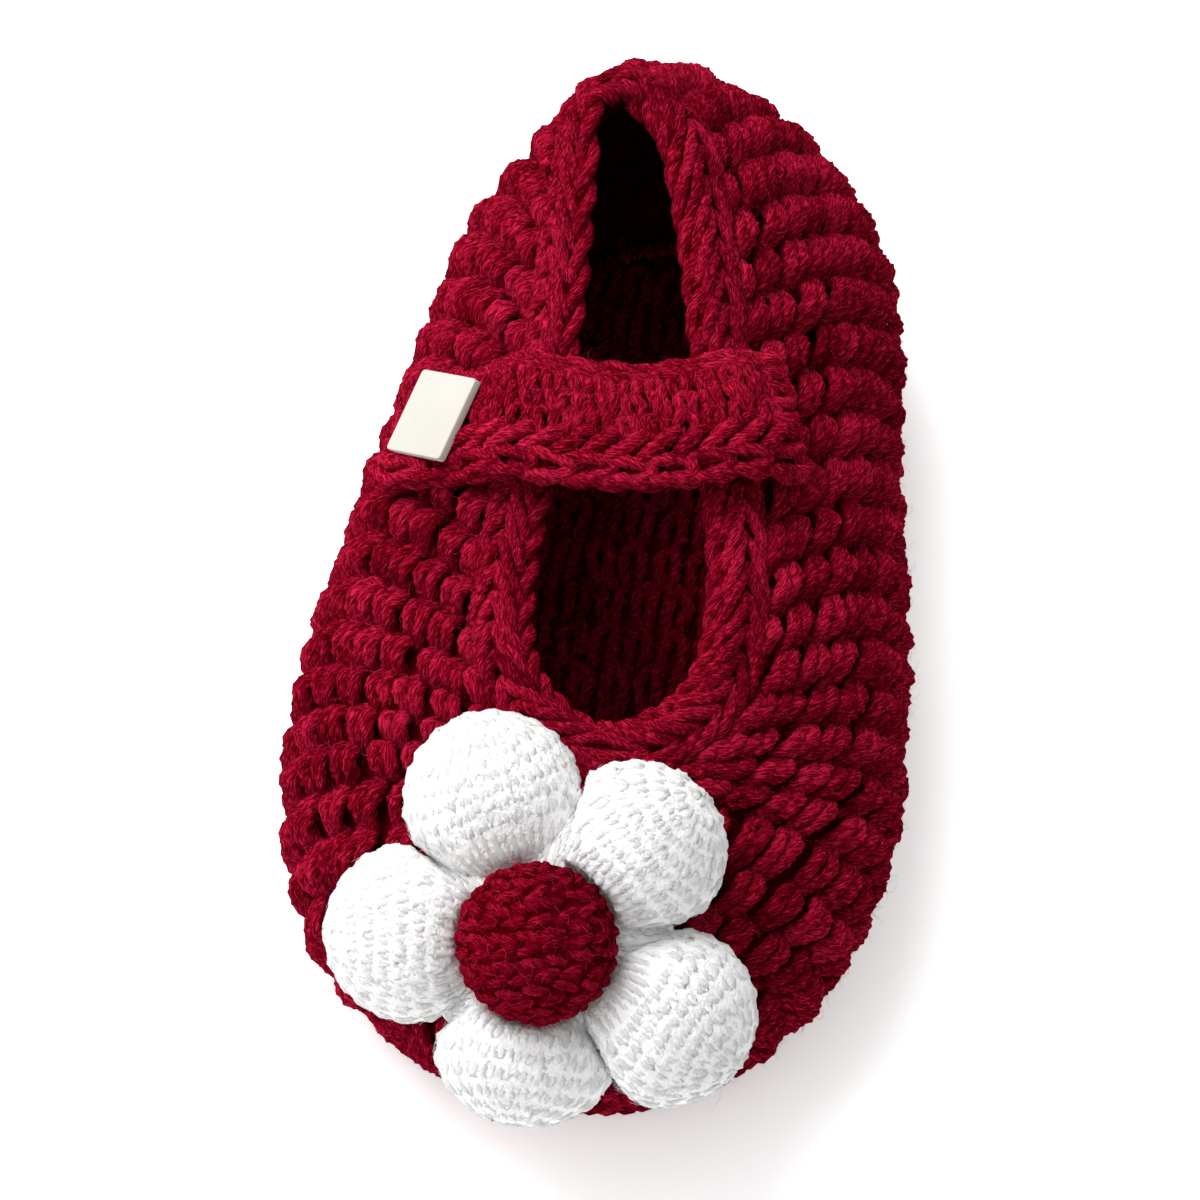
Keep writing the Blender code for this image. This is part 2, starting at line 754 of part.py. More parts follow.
def build_flower(white, red, carriers):
    middle, sideways, upward, outwards = flower_frame()
    ball_middle = middle + outwards * (SEAT + CENTRE_HEIGHT / 2.0)
    ball_reach = Vector((CENTRE_WIDTH / 2.0, CENTRE_WIDTH / 2.0, CENTRE_HEIGHT / 2.0))

    def place_in_ball(offset):
        return sideways * offset.x + upward * offset.y + outwards * offset.z

    def press_off_ball(point):
        offset = point - ball_middle
        local = Vector((offset.dot(sideways), offset.dot(upward), offset.dot(outwards)))
        grown = ball_reach + Vector((CENTRE_CLEARANCE, CENTRE_CLEARANCE, CENTRE_CLEARANCE))
        depth = math.sqrt(sum((value / reach) ** 2 for value, reach in zip(local, grown)))
        if depth < 1.0:
            return ball_middle + place_in_ball(local / max(depth, CENTRE_CORE))
        return point

    def direction_at(angle):
        return sideways * math.cos(angle) + upward * math.sin(angle)

    angles = [math.radians(row["angle"]) for row in PETALS]
    for number, row in enumerate(PETALS):
        radial = direction_at(angles[number])
        tangent = outwards.cross(radial)
        start = middle + radial * row["ring"] + outwards * FLOWER_SEEK
        seat, seat_out, _, _ = carriers[0].ray_cast(start * MM, -outwards)
        tilt = (outwards + seat_out).normalized()
        petal_radial = (radial - tilt * radial.dot(tilt)).normalized()
        petal_middle = seat / MM + tilt * (SEAT + PETAL_HEIGHT / 2.0 - PETAL_SINK)
        # Flat faces where the petal meets its neighbours, half way between their angles
        walls = []
        for turn in SIDES:
            beside = direction_at(angles[(number + turn) % len(PETALS)])
            between = (radial + beside).normalized()
            walls.append((beside - between * beside.dot(between)).normalized())
        unit, faces = round_body(PETAL_SEGMENTS, PETAL_RINGS)
        points = []
        for direction in unit:
            tuck = 1.0 - (1.0 - PETAL_TUCK) * ease(-direction.x)
            point = petal_middle + petal_radial * (direction.x * row["length"] / 2.0)
            point = point + tangent * (direction.y * tuck * PETAL_WIDTH / 2.0)
            point = point + tilt * (direction.z * tuck * PETAL_HEIGHT / 2.0)
            for _ in range(PETAL_PRESSES):
                for wall in walls:
                    over = (point - middle).dot(wall) + GAP / 2.0
                    if over > 0.0:
                        point = point - wall * over
                point = press_off_ball(point)
                point = press_off(point, carriers)
            points.append(point)
        add_part(f"petal_{number + 1}", points, faces, white)
    unit, faces = round_body(CENTRE_SEGMENTS, CENTRE_RINGS)
    points = [ball_middle + place_in_ball(direction * ball_reach) for direction in unit]
    points = [press_off(point, carriers) for point in points]
    add_part("flower_centre", points, faces, red)


def centre_on_floor():
    """Moves all parts together, so that the middle of their common box stands on the origin."""
    parts = list(bpy.context.scene.collection.objects)
    corners = [vertex.co for part in parts for vertex in part.data.vertices]
    low = Vector([min(corner[axis] for corner in corners) for axis in range(3)])
    high = Vector([max(corner[axis] for corner in corners) for axis in range(3)])
    middle = (low + high) / 2.0
    for part in parts:
        part.location = (-middle.x, -middle.y, -low.z)


def main():
    for old in list(bpy.data.objects):
        bpy.data.objects.remove(old)
    build_sole(principled("sole_yarn", RED_YARN, YARN_ROUGHNESS))
    upper_tree = build_upper(principled("upper_yarn", RED_YARN, YARN_ROUGHNESS))
    edging_tree = build_edging(principled("edging_yarn", RED_YARN, YARN_ROUGHNESS))
    carriers = (upper_tree, edging_tree)
    strap_tree = build_strap(principled("strap_yarn", RED_YARN, YARN_ROUGHNESS), carriers)
    build_tag(principled("tag_face", CREAM, TAG_ROUGHNESS), strap_tree)
    white = principled("petal_yarn", WHITE_YARN, YARN_ROUGHNESS)
    red = principled("centre_yarn", RED_YARN, YARN_ROUGHNESS)
    build_flower(white, red, carriers)
    centre_on_floor()


main()
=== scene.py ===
import math

import bpy
import numpy as np
from mathutils import Matrix, Vector
from mathutils.bvhtree import BVHTree


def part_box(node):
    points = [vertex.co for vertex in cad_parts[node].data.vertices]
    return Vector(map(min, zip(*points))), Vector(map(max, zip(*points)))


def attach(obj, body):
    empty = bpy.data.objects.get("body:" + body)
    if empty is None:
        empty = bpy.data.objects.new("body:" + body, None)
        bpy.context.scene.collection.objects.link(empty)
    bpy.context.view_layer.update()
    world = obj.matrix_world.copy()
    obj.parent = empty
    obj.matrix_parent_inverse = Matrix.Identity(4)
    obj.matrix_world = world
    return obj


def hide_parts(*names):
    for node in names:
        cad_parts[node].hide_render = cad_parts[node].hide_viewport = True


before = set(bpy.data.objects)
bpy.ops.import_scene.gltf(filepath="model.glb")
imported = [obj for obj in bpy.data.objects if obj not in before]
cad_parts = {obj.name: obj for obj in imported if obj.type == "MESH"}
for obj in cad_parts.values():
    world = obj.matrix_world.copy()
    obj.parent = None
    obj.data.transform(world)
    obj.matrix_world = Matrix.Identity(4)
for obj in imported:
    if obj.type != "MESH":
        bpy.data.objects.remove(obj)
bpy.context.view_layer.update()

bpy.ops.object.select_all(action="DESELECT")


# Sole
# A flat pad about 4 mm thick, crocheted to and fro in dark red double-knit yarn.
# A round of stitches over its edge joins the upper to it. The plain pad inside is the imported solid.

MM = 0.001
# Plan of the shoe in millimetres, with the toe at the lower end
TOE_TIP = -62.5
HEEL_BACK = 49.5
BALL_HALF_WIDTH = 30.4
HEEL_HALF_WIDTH = 23.6
TOE_ARC_START = -26.0
HEEL_ARC_START = 24.0
TAPER_END = 34.0
TOE_SQUARENESS = 2.2
HEEL_SQUARENESS = 1.95
HEEL_SWING = 1.3
TOE_SPRING = 1.2
TOE_SPRING_START = -44.0
TOE_SPRING_END = -62.0
SOLE_INSET = 3.0
SOLE_THICKNESS = 4.0
SHOE_PLACE = np.array([0.0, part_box("sole")[0][1] / MM - (TOE_TIP + SOLE_INSET), 0.0])
# A short step along a line, as a share of its length, shows which way the line runs
FEEL = 0.004
OUTLINE_STEPS = 241

# Yarn of three plies: millimetres, and shares of its radius
YARN_RADIUS = 0.88
YARN_SIDES = 9
PLAIN_SIDES = 6
YARN_PLIES = 3
PLY_DEPTH = 0.12
YARN_LUMPS = 0.02
YARN_TURN = 6.5
STRAND_TIP = 0.6
# A direction that no strand starts along
STRAND_SIDE = np.array([0.31, 0.52, 0.79])
# Its fibres lie in two layers that wind opposite ways, and the second shows here and there
FIBRE_LAYERS = ({"wind": 0.9, "pace": 1.5, "coarse": 1.0}, {"wind": -3.2, "pace": 1.1, "coarse": 0.7})
TONE_SPREAD = 17.0
TONE_SHIFT = 0.028
YARN_RELIEF = 0.00035
GROUND_RELIEF = 0.0014

# Red yarn runs from a deep red of painted shade, through its own red, to a lit red of painted highlight
DEEP_RED = (0.056, 0.0003, 0.0018, 1.0)
YARN_RED = (0.246, 0.0013, 0.0120, 1.0)
LIT_RED = (0.650, 0.0180, 0.0710, 1.0)
RED_SHEEN = (1.0, 0.05, 0.14, 1.0)
RED_NAP = 0.08

chance = np.random.default_rng(7)


def ease(share):
    share = np.clip(share, 0.0, 1.0)
    return share * share * (3.0 - 2.0 * share)


def unit(vectors):
    return vectors / np.linalg.norm(vectors, axis=-1, keepdims=True)


def smooth(knots, count):
    """Points at even steps on a soft curve through the knots, which run along the second last axis."""
    knots = np.asarray(knots, float)
    first = 2.0 * knots[..., :1, :] - knots[..., 1:2, :]
    last = 2.0 * knots[..., -1:, :] - knots[..., -2:-1, :]
    longer = np.concatenate([first, knots, last], axis=-2)
    place = np.linspace(0.0, knots.shape[-2] - 1.0, count)
    span = np.minimum(place.astype(int), knots.shape[-2] - 2)
    u = (place - span)[:, None]
    before, start, end, after = [longer[..., span + step, :] for step in range(4)]
    square = 2.0 * before - 5.0 * start + 4.0 * end - after
    cube = 3.0 * (start - end) + after - before
    bend = square * u**2 + cube * u**3
    return start + 0.5 * ((end - before) * u + bend)


def line_of(points):
    """A polyline with the share of its length reached at each point."""
    points = np.asarray(points, float)
    steps = np.linalg.norm(np.diff(points, axis=0), axis=1)
    reach = np.concatenate([[0.0], np.cumsum(steps)])
    return points, reach / reach[-1], reach[-1]


def on_line(line, share):
    points, reach, _ = line
    share = np.clip(share, 0.0, 1.0)
    return np.stack([np.interp(share, reach, points[:, axis]) for axis in range(3)], axis=-1)


def half_width(along):
    """Half the plan width of the shoe at its fullest level."""
    taper = ease((along - TOE_ARC_START) / (TAPER_END - TOE_ARC_START))
    width = BALL_HALF_WIDTH + (HEEL_HALF_WIDTH - BALL_HALF_WIDTH) * taper
    toe = np.clip((TOE_ARC_START - along) / (TOE_ARC_START - TOE_TIP), 0.0, 1.0)
    heel = np.clip((along - HEEL_ARC_START) / (HEEL_BACK - HEEL_ARC_START), 0.0, 1.0)
    width = width * (1.0 - toe**TOE_SQUARENESS) ** (1.0 / TOE_SQUARENESS)
    return width * (1.0 - heel**HEEL_SQUARENESS) ** (1.0 / HEEL_SQUARENESS)


outline_turn = np.linspace(0.0, math.pi, OUTLINE_STEPS)
outline_along = TOE_TIP + (HEEL_BACK - TOE_TIP) * (1.0 - np.cos(outline_turn)) / 2.0
OUTLINE = line_of(np.stack([half_width(outline_along), outline_along, 0.0 * outline_along], axis=-1))


def outline_point(side, share, inset):
    """Point of the plan outline on one side, moved inwards by the inset."""
    side, share, inset = np.broadcast_arrays(side, share, inset)
    point = on_line(OUTLINE, share)
    before = on_line(OUTLINE, share - FEEL)
    after = on_line(OUTLINE, share + FEEL)
    mirror = np.array([-1.0, 1.0, 1.0])
    before = np.where((share < FEEL)[..., None], after * mirror, before)
    after = np.where((share > 1.0 - FEEL)[..., None], before * mirror, after)
    run = unit(after - before)
    moved_x = point[..., 0] - run[..., 1] * inset
    moved_y = point[..., 1] + run[..., 0] * inset
    swing = HEEL_SWING * ease(moved_y / HEEL_BACK)
    return np.stack([side * moved_x + swing, moved_y, 0.0 * moved_x], axis=-1)


def toe_lift(along):
    """Rise of the sole under the toe."""
    return TOE_SPRING * ease((TOE_SPRING_START - along) / (TOE_SPRING_START - TOE_SPRING_END))


def stitch_paths(knots, number, jitter, steps):
    """Soft paths of a number of stitches through the same knots, each a little different."""
    knots = np.asarray(knots, float)
    return smooth(knots + chance.normal(0.0, 1.0, (number, len(knots), 3)) * jitter, steps)


def even_strands(paths, radius):
    return paths, np.full(paths.shape[:2], radius)


def strand_shell(paths, radii, sides, ply_depth):
    """Plied strands along paths: points, quads, end triangles, the maps of both and each point's tone."""
    number, steps, _ = paths.shape
    run = unit(np.gradient(paths, axis=1))
    gone = np.linalg.norm(np.diff(paths, axis=1), axis=2)
    length = np.concatenate([np.zeros((number, 1)), np.cumsum(gone, axis=1)], axis=1)
    beside = np.empty_like(paths)
    beside[:, 0] = unit(np.cross(run[:, 0], STRAND_SIDE))
    for step in range(1, steps):
        carried = beside[:, step - 1]
        carried = carried - run[:, step] * np.sum(carried * run[:, step], axis=1, keepdims=True)
        beside[:, step] = unit(carried)
    above = np.cross(run, beside)
    around = np.arange(sides)
    groove = 1.0 - ply_depth * (around % (sides // YARN_PLIES) == 0)
    angle = 2.0 * math.pi * (around / sides + length[..., None] / YARN_TURN)
    uneven = 1.0 + YARN_LUMPS * chance.normal(0.0, 1.0, (number, steps, sides))
    reach = (radii[..., None] * groove * uneven)[..., None]
    ring = np.cos(angle)[..., None] * beside[:, :, None] + np.sin(angle)[..., None] * above[:, :, None]
    rings = (paths[:, :, None] + reach * ring).reshape(number, steps * sides, 3)
    start = paths[:, :1] - run[:, :1] * radii[:, :1, None] * STRAND_TIP
    end = paths[:, -1:] + run[:, -1:] * radii[:, -1:, None] * STRAND_TIP
    points = np.concatenate([rings, start, end], axis=1)
    near = (np.arange(steps - 1)[:, None] * sides + around).ravel()
    nearby = (np.arange(steps - 1)[:, None] * sides + (around + 1) % sides).ravel()
    quads = np.stack([near, nearby, nearby + sides, near + sides], axis=1)
    top = (steps - 1) * sides
    first_cap = np.stack([(around + 1) % sides, around, np.full(sides, steps * sides)], axis=1)
    last_cap = np.stack([top + around, top + (around + 1) % sides, np.full(sides, steps * sides + 1)], axis=1)
    base = (np.arange(number) * (steps * sides + 2))[:, None, None]
    quads = (base + quads).reshape(-1, 4)
    caps = (base + np.concatenate([first_cap, last_cap])).reshape(-1, 3)
    low = np.repeat(length[:, :-1], sides, axis=1)
    high = np.repeat(length[:, 1:], sides, axis=1)
    left = np.broadcast_to(np.tile(around / sides, steps - 1), low.shape)
    right = left + 1.0 / sides
    quad_uv = np.stack([left, low, right, low, right, high, left, high], axis=-1).reshape(-1, 2)
    cap_v = np.repeat(length[:, [0, -1]], 3 * sides, axis=1)
    cap_u = np.broadcast_to(np.tile(np.repeat(around / sides, 3), 2), cap_v.shape)
    cap_uv = np.stack([cap_u, cap_v], axis=-1).reshape(-1, 2)
    tone = np.repeat(chance.normal(0.0, 1.0, number), steps * sides + 2)
    return points.reshape(-1, 3), quads, caps, quad_uv, cap_uv, tone


def yarn_piece(name, strands, material, sides=YARN_SIDES, ply_depth=PLY_DEPTH):
    """One mesh of many strands, given as (paths, radii) groups in millimetres in the shoe's own frame."""
    shells = [strand_shell(paths, radii, sides, ply_depth) for paths, radii in strands]
    counts = np.cumsum([0] + [len(shell[0]) for shell in shells])
    points = np.concatenate([shell[0] for shell in shells])
    quads = np.concatenate([shell[1] + start for shell, start in zip(shells, counts)])
    caps = np.concatenate([shell[2] + start for shell, start in zip(shells, counts)])
    corners = np.concatenate([quads.ravel(), caps.ravel()])
    starts = np.concatenate([np.arange(len(quads)) * 4, len(quads) * 4 + np.arange(len(caps)) * 3])
    uv = np.concatenate([shell[3] for shell in shells] + [shell[4] for shell in shells])
    mesh = bpy.data.meshes.new(name)
    mesh.vertices.add(len(points))
    mesh.vertices.foreach_set("co", ((points + SHOE_PLACE) * MM).ravel())
    mesh.loops.add(len(corners))
    mesh.loops.foreach_set("vertex_index", corners)
    mesh.polygons.add(len(starts))
    mesh.polygons.foreach_set("loop_start", starts)
    mesh.uv_layers.new(name="strand").data.foreach_set("uv", uv.ravel())
    tone = mesh.attributes.new("tone", "FLOAT", "POINT")
    tone.data.foreach_set("value", np.concatenate([shell[5] for shell in shells]))
    mesh.update(calc_edges=True)
    mesh.validate()
    mesh.shade_smooth()
    mesh.materials.append(material)
    piece = bpy.data.objects.new(name, mesh)
    bpy.context.scene.collection.objects.link(piece)
    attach(piece, "root")
    return piece


def new_material(name):
    material = bpy.data.materials.new(name)
    material.use_nodes = True
    return material, material.node_tree, material.node_tree.nodes["Principled BSDF"]


def math_node(tree, operation, first, second):
    node = tree.nodes.new("ShaderNodeMath")
    node.operation = operation
    for socket, value in zip(node.inputs, (first, second)):
        if isinstance(value, (int, float)):
            socket.default_value = value
        else:
            tree.links.new(value, socket)
    return node.outputs[0]


def span_node(tree, value, low, high, start=0.0, end=1.0):
    """A value carried over from the span start to end into the span low to high."""
    node = tree.nodes.new("ShaderNodeMapRange")
    node.inputs["From Min"].default_value = start
    node.inputs["From Max"].default_value = end
    node.inputs["To Min"].default_value = low
    node.inputs["To Max"].default_value = high
    tree.links.new(value, node.inputs["Value"])
    return node.outputs["Result"]


def noise_node(tree, scale, detail=2.0):
    """Fine noise in the piece's own space."""
    place = tree.nodes.new("ShaderNodeTexCoord")
    noise = tree.nodes.new("ShaderNodeTexNoise")
    noise.inputs["Scale"].default_value = scale
    noise.inputs["Detail"].default_value = detail
    tree.links.new(place.outputs["Object"], noise.inputs["Vector"])
    return noise.outputs["Fac"]


def tone_node(tree):
    """Each strand's own tone."""
    tone = tree.nodes.new("ShaderNodeAttribute")
    tone.attribute_name = "tone"
    return tone.outputs["Fac"]


def colour_by(tree, level, stops):
    """Colour a material along a level, from two or more (place, colour) stops."""
    ramp = tree.nodes.new("ShaderNodeValToRGB")
    for element, (place, colour) in zip(ramp.color_ramp.elements, (stops[0], stops[-1])):
        element.position = place
        element.color = colour
    for place, colour in stops[1:-1]:
        ramp.color_ramp.elements.new(place).color = colour
    tree.links.new(level, ramp.inputs["Fac"])
    tree.links.new(ramp.outputs["Color"], tree.nodes["Principled BSDF"].inputs["Base Color"])


def relief_by(tree, height, strength, distance):
    """Let a height bend the light on a material."""
    relief = tree.nodes.new("ShaderNodeBump")
    relief.inputs["Strength"].default_value = strength
    relief.inputs["Distance"].default_value = distance
    tree.links.new(height, relief.inputs["Height"])
    tree.links.new(relief.outputs["Normal"], tree.nodes["Principled BSDF"].inputs["Normal"])


def fibre_group():
    """Streaks of single fibres that wind along a strand, read from its own map."""
    group = bpy.data.node_groups.new("yarn_fibres", "ShaderNodeTree")
    for name, way, kind in (
        ("Strand", "INPUT", "NodeSocketVector"),
        ("Tone", "INPUT", "NodeSocketFloat"),
        ("Fineness", "INPUT", "NodeSocketFloat"),
        ("Streaks", "OUTPUT", "NodeSocketFloat"),
    ):
        group.interface.new_socket(name, in_out=way, socket_type=kind)
    inside = group.nodes.new("NodeGroupInput")
    outside = group.nodes.new("NodeGroupOutput")
    apart = group.nodes.new("ShaderNodeSeparateXYZ")
    group.links.new(inside.outputs["Strand"], apart.inputs[0])
    tone = math_node(group, "MULTIPLY", inside.outputs["Tone"], TONE_SPREAD)
    layers = []
    for layer in FIBRE_LAYERS:
        around = math_node(group, "MULTIPLY", apart.outputs["X"], inside.outputs["Fineness"])
        around = math_node(group, "MULTIPLY", around, layer["coarse"])
        winding = math_node(group, "MULTIPLY", apart.outputs["Y"], layer["wind"])
        wound = math_node(group, "ADD", around, winding)
        place = group.nodes.new("ShaderNodeCombineXYZ")
        group.links.new(wound, place.inputs["X"])
        group.links.new(math_node(group, "MULTIPLY", apart.outputs["Y"], layer["pace"]), place.inputs["Y"])
        group.links.new(tone, place.inputs["Z"])
        noise = group.nodes.new("ShaderNodeTexNoise")
        noise.inputs["Scale"].default_value = 1.0
        noise.inputs["Detail"].default_value = 4.0
        noise.inputs["Roughness"].default_value = 0.6
        noise.inputs["Distortion"].default_value = 0.5
        group.links.new(place.outputs[0], noise.inputs["Vector"])
        layers.append(noise.outputs["Fac"])
    crossing = span_node(group, layers[1], 0.0, 0.22, start=0.58, end=0.72)
    group.links.new(math_node(group, "ADD", layers[0], crossing), outside.inputs["Streaks"])
    return group


YARN_FIBRES = fibre_group()


def yarn_material(name, deep, middle, lit, sheen, sheen_weight, fineness=30.0, bump=1.0):
    """Plied yarn: streaked fibres, in part their own tone and in part painted shade and painted highlight,
    each strand a little lighter or darker, with the soft sheen of its nap.
    """
    material, tree, shader = new_material(name)
    shader.inputs["Sheen Weight"].default_value = sheen_weight
    shader.inputs["Sheen Roughness"].default_value = 0.45
    shader.inputs["Sheen Tint"].default_value = sheen
    shader.inputs["Specular IOR Level"].default_value = 0.0
    strand = tree.nodes.new("ShaderNodeUVMap")
    strand.uv_map = "strand"
    tone = tone_node(tree)
    fibres = tree.nodes.new("ShaderNodeGroup")
    fibres.node_tree = YARN_FIBRES
    fibres.inputs["Fineness"].default_value = fineness
    tree.links.new(strand.outputs["UV"], fibres.inputs["Strand"])
    tree.links.new(tone, fibres.inputs["Tone"])
    streaks = fibres.outputs["Streaks"]
    level = math_node(tree, "ADD", streaks, math_node(tree, "MULTIPLY", tone, TONE_SHIFT))
    # Fibre streaks: dark ones are painted shade, lit ones painted highlight
    colour_by(tree, level, [(0.37, deep), (0.51, middle), (0.66, lit)])
    tree.links.new(span_node(tree, streaks, 0.95, 0.72), shader.inputs["Roughness"])
    relief_by(tree, streaks, bump, YARN_RELIEF)
    return material


red_yarn = yarn_material("red_yarn", DEEP_RED, YARN_RED, LIT_RED, RED_SHEEN, RED_NAP)


def stitch_ground(name, deep, lit, row_pitch, stitch_pitch, from_map):
    """Crochet seen between the raised strands: uneven rounded stitches in rows, painted dark in the furrows
    as painted shade.
    """
    material, tree, shader = new_material(name)
    shader.inputs["Specular IOR Level"].default_value = 0.0
    shader.inputs["Roughness"].default_value = 0.92
    stretch = tree.nodes.new("ShaderNodeMapping")
    if from_map:
        place = tree.nodes.new("ShaderNodeUVMap")
        place.uv_map = "rows"
        tree.links.new(place.outputs["UV"], stretch.inputs["Vector"])
        stretch.inputs["Scale"].default_value = (1.0 / row_pitch, 1.0 / stitch_pitch, 1.0)
    else:
        place = tree.nodes.new("ShaderNodeTexCoord")
        tree.links.new(place.outputs["Object"], stretch.inputs["Vector"])
        stretch.inputs["Scale"].default_value = (1.0 / stitch_pitch, 1.0 / row_pitch, 1.0 / row_pitch)
    cells = tree.nodes.new("ShaderNodeTexVoronoi")
    cells.inputs["Scale"].default_value = 1.0
    cells.inputs["Randomness"].default_value = 0.55
    tree.links.new(stretch.outputs["Vector"], cells.inputs["Vector"])
    dome = math_node(tree, "SUBTRACT", 1.0, cells.outputs["Distance"])
    height = math_node(tree, "ADD", dome, math_node(tree, "MULTIPLY", noise_node(tree, 1300.0, 3.0), 0.5))
    # Low parts of the stitches are painted deep red: painted shade in the furrows
    colour_by(tree, math_node(tree, "MULTIPLY", height, 0.8), [(0.55, deep), (1.0, lit)])
    relief_by(tree, height, 1.0, GROUND_RELIEF)
    return material


sole_ground = stitch_ground("sole_stitches", DEEP_RED, YARN_RED, 0.005, 0.0035, False)
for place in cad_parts["sole"].material_slots:
    place.material = sole_ground

# Each stitch of the edge round comes out under the pad, passes round its edge and goes in on top
# (stitch pitches along, millimetres in from the pad's edge, millimetres up)
EDGE_STITCH = [
    (-0.30, 3.6, 1.2), (-0.36, 1.6, 1.05), (-0.20, 0.25, 1.3), (0.05, -0.15, 2.1),
    (0.30, 0.25, 3.1), (0.42, 1.9, 3.9), (0.40, 3.4, 3.9),
]
EDGE_JITTER = np.array([0.03, 0.08, 0.05])
EDGE_STITCHES = 37
EDGE_RADIUS = YARN_RADIUS * 0.92


def sole_edge_strands():
    groups = []
    for side in (-1, 1):
        for shift in (0.25, 0.75):
            path = stitch_paths(EDGE_STITCH, EDGE_STITCHES, EDGE_JITTER, 13)
            share = (np.arange(EDGE_STITCHES)[:, None] + shift + path[..., 0]) / EDGE_STITCHES
            share = np.where(share < 0.0, -share, np.where(share > 1.0, 2.0 - share, share))
            point = outline_point(side, share, SOLE_INSET + path[..., 1])
            point[..., 2] = path[..., 2] + toe_lift(point[..., 1])
            groups.append(even_strands(point, EDGE_RADIUS))
    return groups


yarn_piece("sole_edge_round", sole_edge_strands(), red_yarn)

# On the pad's top the stitches of its rows show inside the shoe
# (stitch pitches across, row pitches along, millimetres up)
TOP_STITCH = [
    (-0.12, -0.60, -0.9), (-0.24, -0.30, 0.15), (-0.27, 0.05, 0.5), (-0.20, 0.32, 0.25), (0.0, 0.46, 0.0),
    (0.20, 0.32, 0.25), (0.27, 0.05, 0.5), (0.24, -0.30, 0.15), (0.12, -0.60, -0.9),
]
TOP_JITTER = np.array([0.05, 0.05, 0.1])
SOLE_ROW = 5.0
SOLE_STITCH = 3.6
FIRST_ROW = 5.5
ROW_MARGIN = 8.0
ROW_HALF = 3.2
STITCH_MARGIN = 2.5


def sole_top_strands():
    paths = []
    for row in range(int((HEEL_BACK - TOE_TIP - ROW_MARGIN) / SOLE_ROW)):
        along = TOE_TIP + FIRST_ROW + row * SOLE_ROW
        ends = half_width(np.array([along - ROW_HALF, along + ROW_HALF]))
        reach = float(ends.min()) - SOLE_INSET - STITCH_MARGIN
        count = max(int(2.0 * reach / SOLE_STITCH), 1)
        path = stitch_paths(TOP_STITCH, count, TOP_JITTER, 13)
        across = (np.arange(count)[:, None] + 0.5 - count / 2.0 + path[..., 0]) * SOLE_STITCH
        length = along + path[..., 1] * SOLE_ROW
        swing = HEEL_SWING * ease(length / HEEL_BACK)
        height = SOLE_THICKNESS + toe_lift(length) + path[..., 2]
        paths.append(np.stack([across + swing, length, height], axis=-1))
    return even_strands(np.concatenate(paths), YARN_RADIUS)


yarn_piece("sole_top_rows", [sole_top_strands()], red_yarn, PLAIN_SIDES)


# Upper
# One wall of single crochet, about 3 mm thick, in 27 rows on each side that run from the sole up to the rim.
# Behind is the plain inner half of the fabric. Over it every stitch is a loop of yarn across its ridge.

WALL = 3.2
BASE_INSET = 3.0
BASE_LEVEL = 4.3
BULGE_RISE = 10.0
FULL_RISE = 24.0
UNDERCUT_TURN = math.radians(65.0)
TOE_TURN = math.radians(90.0)
RIM_TURN = math.radians(58.0)
RIM_TURN_ROWS = 4.0
BULGE_SHARE = 0.24
ROWS = 27
TOE_ROWS = 8
TOE_SHARE = TOE_ROWS / ROWS
STITCH_PITCH = 4.2
# Middle line of the toe, from the sole's front edge up to the front of the throat
TOE_LINE = (
    {"along": TOE_TIP + BASE_INSET, "height": BASE_LEVEL + TOE_SPRING},
    {"along": -62.4, "height": 9.5},
    {"along": -61.8, "height": 15.5},
    {"along": -58.6, "height": 21.5},
    {"along": -52.5, "height": 26.5},
    {"along": -45.0, "height": 29.6},
    {"along": -37.6, "height": 31.2},
)
TOE_STEPS = 90
# Rim of the wall round the throat, from its front to its heel end
THROAT_RIM = (
    {"along": -37.6, "half_width": 0.0, "height": 31.2},
    {"along": -34.4, "half_width": 8.8, "height": 31.4},
    {"along": -27.0, "half_width": 13.9, "height": 32.0},
    {"along": -16.0, "half_width": 14.9, "height": 33.3},
    {"along": -2.0, "half_width": 13.0, "height": 36.0},
    {"along": 12.0, "half_width": 11.2, "height": 39.0},
    {"along": 24.0, "half_width": 9.4, "height": 41.6},
    {"along": 33.6, "half_width": 6.6, "height": 43.2},
    {"along": 38.0, "half_width": 0.0, "height": 43.6},
)
RIM_STEPS = 14
THROAT_DRIFT_FRONT = 1.8
THROAT_DRIFT_HEEL = -4.4

TOE_MIDDLE = line_of(smooth([(0.0, row["along"], row["height"]) for row in TOE_LINE], TOE_STEPS))
rim_knots = [(row["half_width"], row["along"], row["height"]) for row in THROAT_RIM]
beyond_front, beyond_heel = [(-x, y, z) for x, y, z in (rim_knots[1], rim_knots[-2])]
rim_round = [beyond_front] + rim_knots + [beyond_heel]
rim_points = smooth(rim_round, RIM_STEPS * (len(rim_round) - 1) + 1)
THROAT = line_of(rim_points[RIM_STEPS:-RIM_STEPS])


def throat_drift(along):
    """Sideways drift of the middle line, none at the toe's tip."""
    front = THROAT_RIM[0]["along"]
    heel = THROAT_RIM[-1]["along"]
    share = (along - front) / (heel - front)
    over_throat = THROAT_DRIFT_FRONT + (THROAT_DRIFT_HEEL - THROAT_DRIFT_FRONT) * share**2
    over_toe = THROAT_DRIFT_FRONT * ease((along - TOE_TIP) / (front - TOE_TIP))
    return np.where(along < front, over_toe, over_throat)


def wall_top(side, share):
    """Upper end of a row: on the toe's middle line, or on the rim of the throat."""
    on_toe = on_line(TOE_MIDDLE, share / TOE_SHARE)
    on_rim = on_line(THROAT, (share - TOE_SHARE) / (1.0 - TOE_SHARE))
    point = np.where((share <= TOE_SHARE)[..., None], on_toe, on_rim)
    across = side * point[..., 0] + throat_drift(point[..., 1])
    return np.stack([across, point[..., 1], point[..., 2]], axis=-1)


